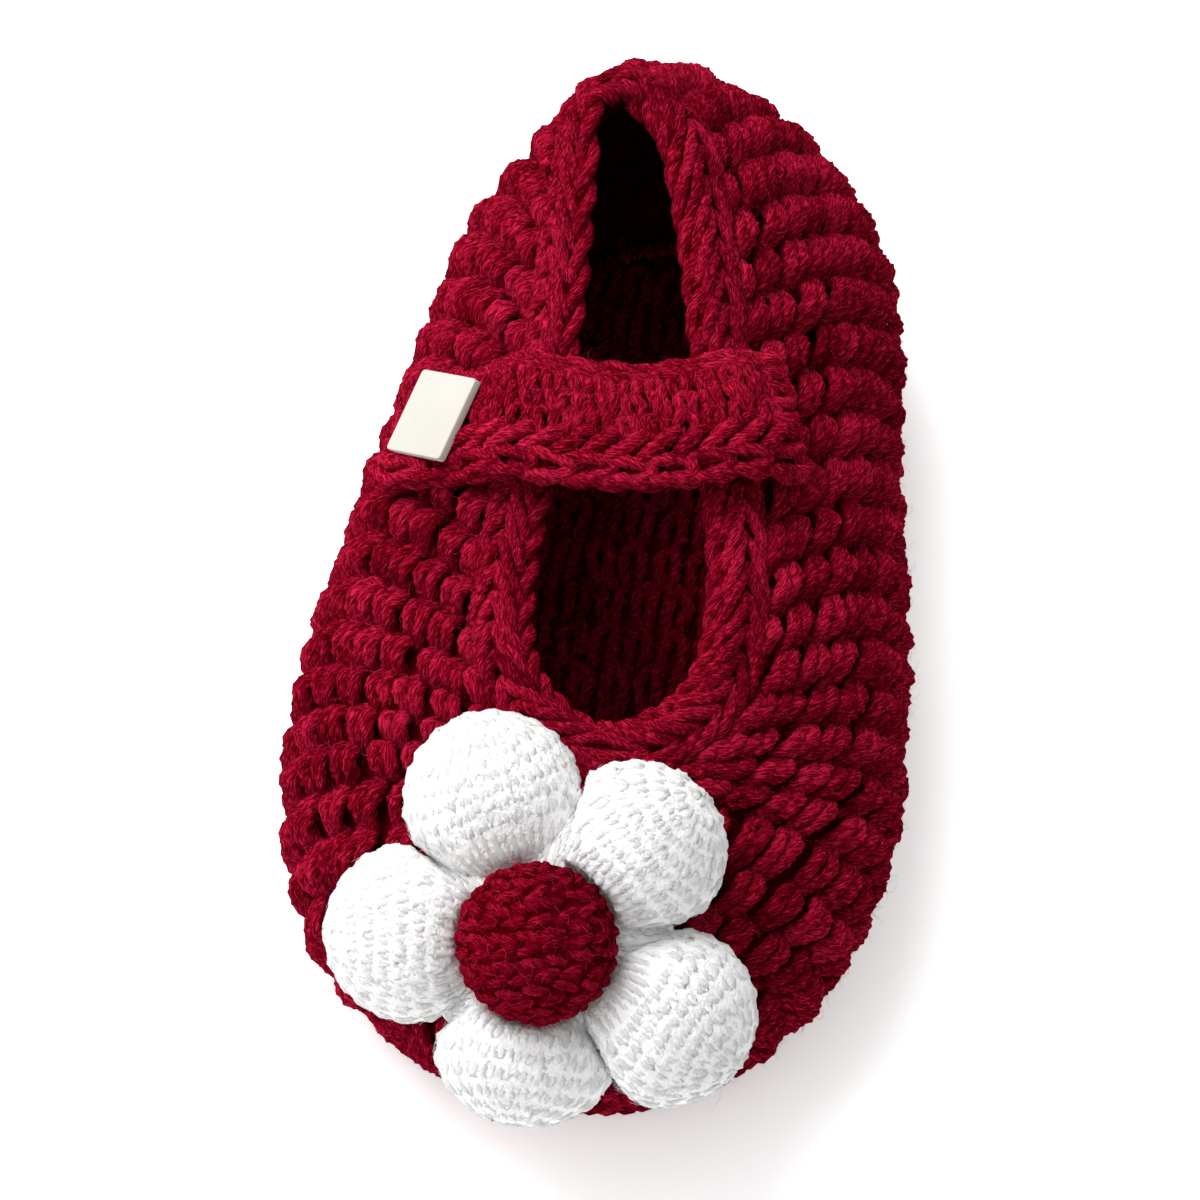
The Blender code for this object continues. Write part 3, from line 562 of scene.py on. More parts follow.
def wall_point(side, share, rise):
    """Point of the wall's smooth outer face: share runs from toe to heel, rise from sole to top."""
    side, share, rise = np.broadcast_arrays(np.asarray(side, float), share, rise)
    side = np.where((share < 0.0) ^ (share > 1.0) ^ (rise > 1.0), -side, side)
    share = np.where(share < 0.0, -share, np.where(share > 1.0, 2.0 - share, share))
    rise = np.where(rise > 1.0, 2.0 - rise, rise)
    base = outline_point(side, share, BASE_INSET)
    base[..., 2] = BASE_LEVEL + toe_lift(base[..., 1])
    top = wall_top(side, share)
    fullness = np.minimum((top[..., 2] - base[..., 2]) / FULL_RISE, 1.0)
    bulge = outline_point(side, share, BASE_INSET * (1.0 - fullness))
    bulge[..., 2] = base[..., 2] + BULGE_RISE * fullness
    under = rise < BULGE_SHARE
    full_turn = TOE_TURN + (RIM_TURN - TOE_TURN) * ease((share - TOE_SHARE) * ROWS / RIM_TURN_ROWS)
    full_turn = np.where(under, UNDERCUT_TURN, full_turn)
    turn = full_turn * np.where(under, 1.0 - rise / BULGE_SHARE, (rise - BULGE_SHARE) / (1.0 - BULGE_SHARE))
    inward = (1.0 - np.cos(turn)) / (1.0 - np.cos(full_turn))
    drop = np.sin(turn) / np.sin(full_turn)
    end = np.where(under[..., None], base, top)
    point = bulge + (end - bulge) * inward[..., None]
    point[..., 2] = bulge[..., 2] + (end[..., 2] - bulge[..., 2]) * drop
    return point


def wall_normal(side, share, rise):
    """Outward direction of the wall's smooth face."""
    share, rise = np.broadcast_arrays(share, rise)
    high = np.where(share > TOE_SHARE, np.minimum(rise + FEEL, 1.0), rise + FEEL)
    low = np.maximum(np.minimum(rise, 1.0) - FEEL, 0.0)
    along = wall_point(side, share + FEEL, rise) - wall_point(side, share - FEEL, rise)
    upward = wall_point(side, share, high) - wall_point(side, share, low)
    return unit(np.cross(along, upward)) * np.asarray(side, float)[..., None]


# The wall's inner half starts this far under the smooth outer face, and the stitches stand on it
GROUND_DEPTH = 1.6
# Its lower edge is worked into the sole's pad, at this height over the floor
GROUND_FOOT = 2.8
# The inner half is painted a darker red than the yarn: painted shade in the holes between the stitches
SHADED_GROUND_RED = (0.125, 0.0007, 0.0051, 1.0)
GROUND_STATIONS = 4 * ROWS + 1
GROUND_LEVELS = 29
NEAR_FRONT = 0.002
NEAR_TOP = 0.999
WELD = 0.00001


def take_up(name, mesh, weld=WELD):
    """A new piece of a mesh, with its doubled points welded, left open for editing."""
    piece = bpy.data.objects.new(name, mesh)
    bpy.context.scene.collection.objects.link(piece)
    bpy.context.view_layer.objects.active = piece
    piece.select_set(True)
    bpy.ops.object.mode_set(mode="EDIT")
    bpy.ops.mesh.select_all(action="SELECT")
    bpy.ops.mesh.remove_doubles(threshold=weld)
    return piece


def put_down(piece, material, crease=None):
    """Close the editing, apply what was added, smooth the piece and give it its one material."""
    bpy.ops.object.mode_set(mode="OBJECT")
    for added in [modifier.name for modifier in piece.modifiers]:
        bpy.ops.object.modifier_apply(modifier=added)
    if crease is None:
        bpy.ops.object.shade_smooth()
    else:
        bpy.ops.object.shade_smooth_by_angle(angle=crease)
    piece.select_set(False)
    piece.data.materials.clear()
    piece.data.materials.append(material)
    return piece


def ground_wall():
    """Inner half of the fabric: a sheet under the stitches, thickened inwards."""
    stations = np.linspace(0.0, 1.0, GROUND_STATIONS)
    levels = np.linspace(0.0, 1.0, GROUND_LEVELS)
    share, rise = np.meshgrid(stations, levels, indexing="ij")
    share = np.maximum(share, NEAR_FRONT)
    points = []
    faces = []
    row_map = []
    for side in (-1, 1):
        start = len(points)
        outwards = wall_normal(np.full(share.shape, side), share, np.minimum(rise, NEAR_TOP))
        sheet = wall_point(side, share, rise) - outwards * GROUND_DEPTH
        sheet[:, 0, 2] = GROUND_FOOT + toe_lift(sheet[:, 0, 1])
        points += list((sheet.reshape(-1, 3) + SHOE_PLACE) * MM)
        steps = np.linalg.norm(np.diff(sheet, axis=1), axis=2)
        gone = np.concatenate([np.zeros((GROUND_STATIONS, 1)), np.cumsum(steps, axis=1)], axis=1)
        row_map += list(np.stack([share * ROWS, gone / STITCH_PITCH], axis=-1).reshape(-1, 2))
        for station in range(GROUND_STATIONS - 1):
            for level in range(GROUND_LEVELS - 1):
                corner = start + station * GROUND_LEVELS + level
                face = [corner, corner + GROUND_LEVELS, corner + GROUND_LEVELS + 1, corner + 1]
                faces.append(face if side > 0 else face[::-1])
    mesh = bpy.data.meshes.new("upper_ground")
    mesh.from_pydata(points, [], faces)
    rows = mesh.uv_layers.new(name="rows")
    for loop in mesh.loops:
        rows.data[loop.index].uv = row_map[loop.vertex_index]
    piece = take_up("upper_ground", mesh, 2.0 * WELD)
    thicken = piece.modifiers.new("thicken", "SOLIDIFY")
    thicken.thickness = (WALL - GROUND_DEPTH) * MM
    thicken.offset = -1.0
    return put_down(piece, stitch_ground("wall_inner_stitches", DEEP_RED, SHADED_GROUND_RED, 1.0, 1.0, True))


upper_ground = ground_wall()
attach(upper_ground, "root")
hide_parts("upper")

# A stitch is a loop that comes out of the furrow on its toe side and turns on its ridge's heel side
# (row pitches towards the heel, stitch pitches up the row, millimetres out of the smooth face)
WALL_STITCH = np.array([
    (-0.62, -0.08, -2.50), (-0.50, -0.10, -1.52), (-0.31, -0.15, -0.30), (-0.05, -0.185, 0.64),
    (0.20, -0.17, 0.30), (0.39, -0.09, -0.80), (0.48, 0.00, -1.30), (0.39, 0.09, -0.90),
    (0.20, 0.17, 0.10), (-0.05, 0.185, 0.48), (-0.31, 0.15, -0.42), (-0.50, 0.10, -1.56),
    (-0.62, 0.08, -2.50),
])
# The legs lean as they cross the ridge (stitch pitches for a row pitch, on the outer and the inner side)
WALL_LEAN = {-1: 0.5, 1: -0.35}
# Stitches differ in size, in their bends, in height, in their place along the row and in their yarn
STITCH_SIZES = 0.045
WALL_JITTER = np.array([0.028, 0.035, 0.06])
WALL_UNEVEN = 0.16
STITCH_SHIFT = 0.08
YARN_SIZES = 0.06
ROW_STEPS = 80
# Stitches lie from this many pitches under a row's foot to this many millimetres over its top,
# and their strands keep within this many millimetres of both
ROW_UNDER = -0.3
ROW_OVER = 1.5
STRAND_FOOT = 0.1
STRAND_OVER = 0.9


def row_strands(side, first_row, last_row):
    """The stitches of some rows on one side, as one group of strands."""
    paths = []
    for row in range(first_row, last_row):
        rise = np.linspace(0.0, 1.0, ROW_STEPS)
        line = wall_point(side, np.full(ROW_STEPS, (row + 0.5) / ROWS), rise)
        gone = np.concatenate([[0.0], np.cumsum(np.linalg.norm(np.diff(line, axis=0), axis=1))])
        top = gone[-1]
        count = int(math.ceil(top / STITCH_PITCH)) + 2
        place = WALL_STITCH * (1.0 + STITCH_SIZES * chance.normal(0.0, 1.0, (count, 1, 1)))
        place = place + chance.normal(0.0, 1.0, place.shape) * WALL_JITTER
        place[..., 1] += np.arange(count)[:, None] - 0.5 + WALL_LEAN[side] * place[..., 0]
        place[..., 2] += chance.normal(0.0, WALL_UNEVEN, (count, 1))
        place[..., 1] += chance.normal(0.0, STITCH_SHIFT, (count, 1)) + (WALL_LEAN[side] * row) % 1.0
        middle = place[:, :, 1].mean(axis=1)
        place = place[(middle * STITCH_PITCH < top + ROW_OVER) & (middle > ROW_UNDER)]
        path = smooth(place, 25)
        share = (row + 0.5 + path[..., 0]) / ROWS
        up = np.clip(path[..., 1] * STITCH_PITCH, STRAND_FOOT, top + STRAND_OVER)
        level = np.interp(up, gone, rise)
        if row < TOE_ROWS:
            level = np.where(up > top, 1.0 + (up - top) / top, level)
        sides = np.full(share.shape, float(side))
        outwards = wall_normal(sides, share, np.minimum(level, 1.0))
        paths.append(wall_point(sides, share, level) + outwards * path[..., 2:])
    paths = np.concatenate(paths)
    thickness = YARN_RADIUS * (1.0 + YARN_SIZES * chance.normal(0.0, 1.0, (len(paths), 1)))
    return paths, thickness + np.zeros(paths.shape[:2])


TOE_PIECE = TOE_ROWS + 3
red_strands = []
for name, rows in (
    ("upper_toe_rows", [(-1, 0, TOE_PIECE), (1, 0, TOE_PIECE)]),
    ("upper_outer_rows", [(-1, TOE_PIECE, ROWS)]),
    ("upper_inner_rows", [(1, TOE_PIECE, ROWS)]),
):
    strands = [row_strands(side, first, last) for side, first, last in rows]
    red_strands += strands
    stitches = yarn_piece(name, strands, red_yarn)
    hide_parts("upper")


# Throat edging
# A chain of slip stitches on the rim: each is a hairpin of yarn whose closed end points to the heel.
# The next hairpin comes out between its legs, so the edge looks like a plait with a groove in its middle.

EDGING_WIDTH = 5.7
EDGING_HALF = EDGING_WIDTH / 2.0
EDGING_GAP = 0.3
EDGING_SINK = 1.0
EDGING_LIFT = 0.45
EDGING_PITCH = 3.5
EDGING_RADIUS = 0.78
EDGING_JITTER = np.array([0.04, 0.05, 0.10])
RIM_RISE = 0.97
# (pitches along the rim towards the heel, half widths across towards the throat, millimetres out)
HAIRPIN = [
    (-1.45, -0.92, -1.5), (-1.05, -0.95, -0.35), (-0.55, -0.86, 0.35), (0.0, -0.66, 0.65), (0.5, -0.44, 0.65),
    (0.95, -0.24, 0.2), (1.12, -0.14, -0.35), (0.95, -0.04, 0.2), (0.5, 0.16, 0.65), (0.0, 0.38, 0.65),
    (-0.55, 0.58, 0.35), (-1.05, 0.67, -0.35), (-1.45, 0.64, -1.5),
]
rim_length = THROAT[2]
hairpins = int(round(rim_length / EDGING_PITCH))


def rim_frame(side, share):
    """Points on the rim, the way from them into the throat along the wall, and the way out of the wall."""
    point = wall_top(side, share)
    near_front = share <= TOE_SHARE + FEEL
    near_heel = share >= 1.0 - FEEL
    share_before = np.where(near_front, 2.0 * TOE_SHARE + FEEL - share, share - FEEL)
    share_after = np.where(near_heel, 2.0 - FEEL - share, share + FEEL)
    before = wall_top(np.where(near_front, -side, side), share_before)
    after = wall_top(np.where(near_heel, -side, side), share_after)
    run = after - before
    inwards = np.stack([-run[..., 1], run[..., 0], 0.0 * run[..., 0]], axis=-1)
    inwards = unit(inwards) * side[..., None]
    outwards = wall_normal(side, share, np.full(share.shape, RIM_RISE))
    inwards = unit(inwards - outwards * np.sum(inwards * outwards, axis=-1, keepdims=True))
    return point, inwards, outwards


def edging_chain():
    groups = []
    for side in (-1, 1):
        path = stitch_paths(HAIRPIN, hairpins, EDGING_JITTER, 25)
        reach = (np.arange(hairpins)[:, None] + 0.5 + path[..., 0]) / hairpins
        turned = (reach < 0.0) | (reach > 1.0)
        reach = np.where(reach < 0.0, -reach, np.where(reach > 1.0, 2.0 - reach, reach))
        share = TOE_SHARE + (1.0 - TOE_SHARE) * reach
        sides = np.where(turned, -side, side) + 0.0 * share
        point, inwards, outwards = rim_frame(sides, share)
        point = point + inwards * (EDGING_GAP + EDGING_HALF + path[..., 1:2] * EDGING_HALF)
        point = point + outwards * (path[..., 2:] - EDGING_SINK + EDGING_LIFT)
        groups.append(even_strands(point, EDGING_RADIUS))
    return groups


# At the front of the throat a few strands bridge the ends of the two chains
# (half widths across, millimetres out)
FRONT_STRANDS = [(-0.90, -0.05), (-0.54, 0.42), (-0.18, 0.40)]
FRONT_REACH = 1.7
FRONT_DIP = 1.5


def front_bridge():
    stations = np.linspace(-1.0, 1.0, 17)
    side = np.where(stations < 0.0, -1.0, 1.0)
    share = TOE_SHARE + (1.0 - TOE_SHARE) * np.abs(stations) * FRONT_REACH / hairpins
    point, inwards, outwards = rim_frame(side, share)
    dip = (FRONT_DIP * stations**4)[:, None]
    paths = []
    for across, out in FRONT_STRANDS:
        place = point + inwards * (EDGING_GAP + EDGING_HALF * (1.0 + across))
        paths.append(place + outwards * (out - dip - EDGING_SINK + EDGING_LIFT))
    return even_strands(np.stack(paths), EDGING_RADIUS)


# Inside the throat the edge ends in a cord of two strands
CORD_ACROSS = 0.76
CORD_DEPTH = 1.15
CORD_TWIST = 0.55
CORD_TURN = 8.0
CORD_STEPS = 420


def edging_cord():
    """The two strands of the cord, each from under the strap once round the throat and back there."""
    gone = np.linspace(0.0, 2.0, CORD_STEPS)
    place = (gone + 0.5) % 2.0 - 1.0
    side = np.where(place < 0.0, -1.0, 1.0)
    point, inwards, outwards = rim_frame(side, TOE_SHARE + (1.0 - TOE_SHARE) * np.abs(place))
    middle = point + inwards * (EDGING_GAP + EDGING_HALF * (1.0 + CORD_ACROSS))
    middle = middle - outwards * (EDGING_SINK + CORD_DEPTH - EDGING_LIFT)
    strands = []
    for start in (0.0, math.pi):
        angle = (start + gone * rim_length * 2.0 * math.pi / CORD_TURN)[:, None]
        strands.append(middle + CORD_TWIST * (np.cos(angle) * inwards + np.sin(angle) * outwards))
    return even_strands(np.stack(strands), EDGING_RADIUS)


edging_strands = edging_chain() + [front_bridge()]
red_strands += edging_strands
edging_strands.append(edging_cord())

# The hairpins close round a flat cord of thread
CORE_DEPTH = 0.35
CORE_HALF_WIDTH = 2.75
CORE_HALF_HEIGHT = 1.1
CORE_SIDES = 12
CORE_STATIONS = 6 * hairpins


def edging_core():
    place = (np.arange(CORE_STATIONS) + 0.5) / CORE_STATIONS * 2.0 - 1.0
    side = np.where(place < 0.0, -1.0, 1.0)
    point, inwards, outwards = rim_frame(side, TOE_SHARE + (1.0 - TOE_SHARE) * np.abs(place))
    middle = point + inwards * (EDGING_GAP + EDGING_HALF) - outwards * (EDGING_SINK + CORE_DEPTH)
    around = np.linspace(0.0, 2.0 * math.pi, CORE_SIDES, endpoint=False)
    ring = middle[:, None] + np.cos(around)[None, :, None] * inwards[:, None] * CORE_HALF_WIDTH
    ring = ring + np.sin(around)[None, :, None] * outwards[:, None] * CORE_HALF_HEIGHT
    points = (ring.reshape(-1, 3) + SHOE_PLACE) * MM
    faces = []
    for station in range(CORE_STATIONS):
        here = station * CORE_SIDES
        there = (station + 1) % CORE_STATIONS * CORE_SIDES
        for spot in range(CORE_SIDES):
            beside = (spot + 1) % CORE_SIDES
            faces.append((here + spot, here + beside, there + beside, there + spot))
    mesh = bpy.data.meshes.new("throat_edging_core")
    mesh.from_pydata(list(points), [], faces)
    piece = take_up("throat_edging_core", mesh)
    bpy.ops.mesh.normals_make_consistent(inside=False)
    return put_down(piece, stitch_ground("edging_inner_stitches", DEEP_RED, YARN_RED, 0.004, 0.003, False))


edging_core_piece = edging_core()
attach(edging_core_piece, "root")
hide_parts("throat_edging")
edging_piece = yarn_piece("throat_edging_chain", edging_strands, red_yarn)
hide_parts("throat_edging")


# Strap
# A band of a few lengthwise crochet rows, about 13 mm wide, with a chain along both edges and round its ends.
# It lies over the throat from the outer side, where the tag sits, and is sewn flush to the inner side.

STRAP_WIDTH = 12.6
STRAP_LINE = (
    {"across": -23.0, "along": -0.4},
    {"across": -16.0, "along": -2.4},
    {"across": -8.0, "along": -3.6},
    {"across": 1.0, "along": -3.4},
    {"across": 8.5, "along": -1.4},
    {"across": 14.6, "along": 1.2},
)
STRAP_PATH = line_of(smooth([(row["across"], row["along"], 0.0) for row in STRAP_LINE], 80))
# Points beyond the band's top are carried on from these shares of its half length and width
STRAP_FEEL = 0.01
STRAP_END_KEPT = 0.015
STRAP_SIDE_KEPT = 0.47
STEEPEST = 0.35
SEEK_HEIGHT = 100.0
# The tag presses the rows down under it
TAG_REACH = 9.5
TAG_PRESS = 0.5


def node_tree_of(node):
    """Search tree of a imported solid, in millimetres in the shoe's own frame."""
    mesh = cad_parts[node].data
    points = [Vector((np.array(vertex.co) / MM - SHOE_PLACE).tolist()) for vertex in mesh.vertices]
    return BVHTree.FromPolygons(points, [list(face.vertices) for face in mesh.polygons])


strap_solid = node_tree_of("strap")


def strap_points(along, across, out):
    """Points over the strap's top: millimetres along from its tagged end, across from its middle, and out."""
    share = along / STRAP_PATH[2]
    inner = np.clip(share, STRAP_FEEL, 1.0 - STRAP_FEEL)
    run = unit(on_line(STRAP_PATH, inner + STRAP_FEEL) - on_line(STRAP_PATH, inner - STRAP_FEEL))
    over = along - np.clip(share, 0.0, 1.0) * STRAP_PATH[2]
    middle = on_line(STRAP_PATH, share) + run * over[..., None]
    sideways = np.stack([-run[..., 1], run[..., 0], 0.0 * over], axis=-1)
    plan = (middle + sideways * across[..., None]).reshape(-1, 3)
    held = np.clip(across, -STRAP_SIDE_KEPT * STRAP_WIDTH, STRAP_SIDE_KEPT * STRAP_WIDTH)
    kept = np.clip(share, STRAP_END_KEPT, 1.0 - STRAP_END_KEPT)
    inside = (on_line(STRAP_PATH, kept) + sideways * held[..., None]).reshape(-1, 3)
    lift = out.reshape(-1) - np.where(along.reshape(-1) < TAG_REACH, TAG_PRESS, 0.0)
    down = Vector((0.0, 0.0, -1.0))
    points = np.empty_like(plan)
    for number, (spot, seek) in enumerate(zip(plan, inside)):
        place, outwards, _, _ = strap_solid.ray_cast(Vector((seek[0], seek[1], SEEK_HEIGHT)), down)
        outwards = np.array(outwards)
        height = place.z - (outwards[:2] @ (spot[:2] - seek[:2])) / max(outwards[2], STEEPEST)
        points[number] = np.array([spot[0], spot[1], height]) + outwards * lift[number]
    return points.reshape(*along.shape, 3)


def strap_row(knots, steps, pitch, level, uneven, radius, start):
    """One row of stitches along the strap, from its start in millimetres to the far end."""
    length = STRAP_PATH[2] - start
    number = int(round(length / pitch))
    path = stitch_paths(knots, number, STRAP_JITTER * uneven, steps)
    along = start + (np.arange(number)[:, None] + 0.5 + path[..., 0]) * length / number
    return even_strands(strap_points(along, level + path[..., 1], path[..., 2]), radius)


STRAP_JITTER = np.array([0.04, 0.12, 0.08])
# Loops that cross a row, a slanted row, and the hairpins of the edge chains
# (pitches along, millimetres across, millimetres out)
STRAP_LOOP = [
    (-0.02, -1.6, -1.1), (-0.10, -1.0, -0.1), (-0.22, -0.1, 0.25), (-0.28, 0.7, 0.15), (-0.10, 1.15, -0.15),
    (0.16, 0.8, 0.15), (0.28, 0.0, 0.25), (0.26, -0.9, -0.1), (0.20, -1.6, -1.1),
]
STRAP_SLANT = [(-0.75, -1.7, -0.9), (-0.5, -1.15, 0.1), (0.0, 0.0, 0.5), (0.5, 1.15, 0.1), (0.75, 1.7, -0.9)]
STRAP_CHAIN = [
    (-0.85, -0.55, -1.0), (-0.5, -0.82, -0.1), (0.0, -0.85, 0.3), (0.5, -0.6, 0.25), (0.82, 0.0, 0.0),
    (0.5, 0.6, 0.25), (0.0, 0.85, 0.3), (-0.5, 0.82, -0.1), (-0.85, 0.55, -1.0),
]
# Rows from the heel side to the toe side (stitch, steps, pitch, place across, unevenness, radius, start)
STRAP_ROWS = (
    (STRAP_CHAIN, 19, 4.0, 5.3, 1.0, 0.78, 0.0),
    (STRAP_LOOP, 17, 2.7, 3.3, 1.6, 0.70, 0.0),
    (STRAP_LOOP, 17, 2.7, 1.4, 1.6, 0.70, 1.3),
    (STRAP_LOOP, 17, 2.7, -0.5, 1.6, 0.70, 0.0),
    (STRAP_SLANT, 13, 2.7, -2.7, 1.0, 0.92, 0.0),
    (STRAP_CHAIN, 19, 3.6, -5.0, 1.0, 0.78, 0.0),
)
strap_strands = [strap_row(*row) for row in STRAP_ROWS]
red_strands += strap_strands

# Twisted cords along both edges, over the strap's side faces (place across, depth)
STRAP_CORDS = ((5.8, 0.9), (5.4, 2.1), (-5.9, 1.0), (-5.5, 2.2))
STRAP_CORD_TURN = 6.4
STRAP_CORD_TWIST = 0.5
STRAP_CORD_RADIUS = 0.62
STRAP_CORD_OVER = 1.3
STRAP_CORD_STEPS = 150


def strap_cord(level, depth):
    gone = np.linspace(-STRAP_CORD_OVER, STRAP_PATH[2] + STRAP_CORD_OVER, STRAP_CORD_STEPS)
    strands = []
    for start in (0.0, math.pi):
        angle = start + gone * 2.0 * math.pi / STRAP_CORD_TURN
        across = level + STRAP_CORD_TWIST * np.cos(angle)
        strands.append(strap_points(gone, across, STRAP_CORD_TWIST * np.sin(angle) - depth))
    return even_strands(np.stack(strands), STRAP_CORD_RADIUS)


strap_strands += [strap_cord(level, depth) for level, depth in STRAP_CORDS]

# Strands over the ends, from the top of the strap down to the wall (millimetres beyond the end, across, out)
END_STRAND = [
    (-1.3, -0.5, -0.5), (-0.4, -0.3, 0.35), (0.8, 0.0, 0.25),
    (1.6, 0.4, -0.6), (1.9, 0.7, -1.7), (1.7, 0.9, -2.8),
]
END_JITTER = 0.1
END_PITCH = 1.6
END_DRAWN_IN = 0.96
END_RADIUS = 0.8


def strap_end(along, way):
    number = int(round(STRAP_WIDTH / END_PITCH))
    path = stitch_paths(END_STRAND, number, END_JITTER, 13)
    across = (np.arange(number)[:, None] + 0.5 - number / 2.0) * END_PITCH + path[..., 1]
    points = strap_points(along + way * path[..., 0], across * END_DRAWN_IN, path[..., 2])
    return even_strands(points, END_RADIUS)


strap_strands.append(strap_end(0.0, -1.0))
strap_strands.append(strap_end(STRAP_PATH[2], 1.0))
# The strap's yarn is painted a shade brighter: partly its looser working, partly painted light, as it lies
# nearest to the light
STRAP_PAINTED_LIGHT_RED = (0.300, 0.0017, 0.0150, 1.0)
STRAP_LIT = (0.730, 0.0210, 0.0800, 1.0)
strap_yarn = yarn_material("strap_yarn", DEEP_RED, STRAP_PAINTED_LIGHT_RED, STRAP_LIT, RED_SHEEN, RED_NAP)
strap_piece = yarn_piece("strap_rows", strap_strands, strap_yarn)
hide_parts("strap")

# The inside of the band under its strands is the imported solid, drawn in, and painted the darker red of
# painted shade
STRAP_SKIN = 0.95


def drawn_in(node, name, depth):
    """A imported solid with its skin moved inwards, left open for editing."""
    piece = take_up(name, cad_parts[node].data.copy())
    bpy.ops.mesh.normals_make_consistent(inside=False)
    bpy.ops.transform.shrink_fatten(value=-depth * MM)
    return piece


core = drawn_in("strap", "strap_core", STRAP_SKIN)
put_down(core, stitch_ground("strap_inner_stitches", DEEP_RED, SHADED_GROUND_RED, 0.003, 0.003, False))
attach(core, "root")
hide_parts("strap")


# Tag
# A small blank plate of stiff cream imitation leather, about 9 mm square, glued on the strap's outer end.
# Its cut edges are softly rounded.

TAG_EDGE = 0.00012
TAG_FLAT = math.radians(2.0)
TAG_CORNER = math.radians(50.0)
TAG_CREASE = math.radians(35.0)
TAG_CREAM = (0.515, 0.496, 0.452, 1.0)
TAG_PALE = (0.560, 0.540, 0.495, 1.0)


def tag_material():
    material, tree, shader = new_material("tag_leather")
    shader.inputs["Specular IOR Level"].default_value = 0.35
    grain = noise_node(tree, 3200.0, 4.0)
    colour_by(tree, noise_node(tree, 260.0), [(0.0, TAG_CREAM), (1.0, TAG_PALE)])
    tree.links.new(span_node(tree, grain, 0.42, 0.6), shader.inputs["Roughness"])
    relief_by(tree, grain, 0.25, 0.0001)
    return material


def tag_plate():
    piece = take_up("tag_plate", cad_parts["tag"].data.copy())
    bpy.ops.mesh.dissolve_limited(angle_limit=TAG_FLAT)
    soften = piece.modifiers.new("soften", "BEVEL")
    soften.width = TAG_EDGE
    soften.segments = 3
    soften.limit_method = "ANGLE"
    soften.angle_limit = TAG_CORNER
    return put_down(piece, tag_material(), TAG_CREASE)


tag_piece = tag_plate()
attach(tag_piece, "root")
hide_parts("tag")


# Petals
# Five stuffed puffs crocheted in rounds of soft white yarn, sewn side by side round the flower's middle.
# Each is a filled bag with its rounds of loops laid over it, gathered where it meets the middle.

PETALS = ("petal_1", "petal_2", "petal_3", "petal_4", "petal_5")
PETAL_RADIUS = 0.52
PETAL_ROUND = 2.3
PETAL_STITCH = 2.0
PETAL_HALF = 8.0
PETAL_SKIN = -0.01
PETAL_SINK = 0.43
PETAL_PLY = 0.05
GATHER_START = 0.64
GATHER_END = 0.93
GATHER_LINES = 34
GATHER_RADIUS = 0.46
WHITE = (1.0, 1.0, 1.0, 1.0)
SNOW = (0.945, 0.945, 0.94, 1.0)
SNOW_SHADE = (0.90, 0.90, 0.897, 1.0)
SNOW_LIT = (0.97, 0.97, 0.965, 1.0)
SNOW_NAP = 0.2
# (rounds towards the tip, stitches round, millimetres out)
PUFF_STITCH = [
    (-0.72, -0.12, -0.70), (-0.45, -0.20, -0.22), (-0.1, -0.27, 0.04), (0.22, -0.24, 0.02),
    (0.46, 0.0, -0.14), (0.22, 0.24, 0.02), (-0.1, 0.27, 0.04), (-0.45, 0.20, -0.22), (-0.72, 0.12, -0.70),
]
# Gathers that run to the flower's middle (share of the way to their inner end, lines, millimetres out)
GATHER = [(-0.12, 0.1, -0.65), (0.12, 0.0, -0.02), (0.4, -0.05, 0.08), (0.7, 0.05, 0.0), (1.0, 0.0, -0.5)]
PUFF_JITTER = np.array([0.06, 0.06, 0.05])
PUFF_REACH = 40.0
POLE_GAP = 0.02

# White fibres let light through, so that their furrows stay bright
SNOW_GLOW = 0.35
SNOW_DEPTH = 0.0006
white_yarn = yarn_material("white_yarn", SNOW_SHADE, SNOW, SNOW_LIT, WHITE, SNOW_NAP, fineness=22.0, bump=0.8)
white_shader = white_yarn.node_tree.nodes["Principled BSDF"]
white_shader.inputs["Subsurface Weight"].default_value = SNOW_GLOW
white_shader.inputs["Subsurface Scale"].default_value = SNOW_DEPTH
white_shader.inputs["Subsurface Radius"].default_value = (1.0, 1.0, 1.0)


def bag_material():
    material, tree, shader = new_material("white_bag")
    shader.inputs["Roughness"].default_value = 0.95
    wool = noise_node(tree, 1400.0)
    colour_by(tree, wool, [(0.0, SNOW), (1.0, SNOW_LIT)])
    relief_by(tree, wool, 0.9, 0.0004)
    return material


white_bag = bag_material()


def centre_of(node):
    low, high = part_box(node)
    return (np.array(low) + np.array(high)) / 2.0 / MM - SHOE_PLACE


FLOWER_MIDDLE = centre_of("flower_centre")
petal_middles = np.array([centre_of(node) for node in PETALS])
flower_axes = np.linalg.svd(petal_middles - petal_middles.mean(axis=0))[2]
# Outward direction of the flower, square to the plane through the petals' middles
FLOWER_OUT = flower_axes[2] * np.sign(flower_axes[2][2])


def puff_points(tree, middle, directions, out):
    """Points where rays from a puff's middle leave its skin, moved out along them."""
    flat = directions.reshape(-1, 3)
    lift = out.reshape(-1)
    points = np.empty_like(flat)
    for number, way in enumerate(flat):
        place, outwards, _, _ = tree.ray_cast(Vector(middle + way * PUFF_REACH), Vector(-way))
        points[number] = np.array(place) + (way + np.array(outwards)) * 0.5 * lift[number]
    return points.reshape(directions.shape)


def puff_bag(node, name, material):
    """The stuffed bag itself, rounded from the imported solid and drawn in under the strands."""
    piece = drawn_in(node, name, PETAL_SKIN)
    rounded = piece.modifiers.new("rounded", "SUBSURF")
    rounded.levels = 2
    rounded.render_levels = 2
    put_down(piece, material)
    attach(piece, "root")
    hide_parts(node)
    return piece


def puff_ways(tip, polar, spin):
    """Directions from a petal's middle: polar angle from its tip, spin from its side over its top."""
    beside = np.cross(FLOWER_OUT, tip)
    ways = np.cos(polar)[..., None] * tip
    ways = ways + (np.sin(polar) * np.cos(spin))[..., None] * beside
    return ways + (np.sin(polar) * np.sin(spin))[..., None] * FLOWER_OUT


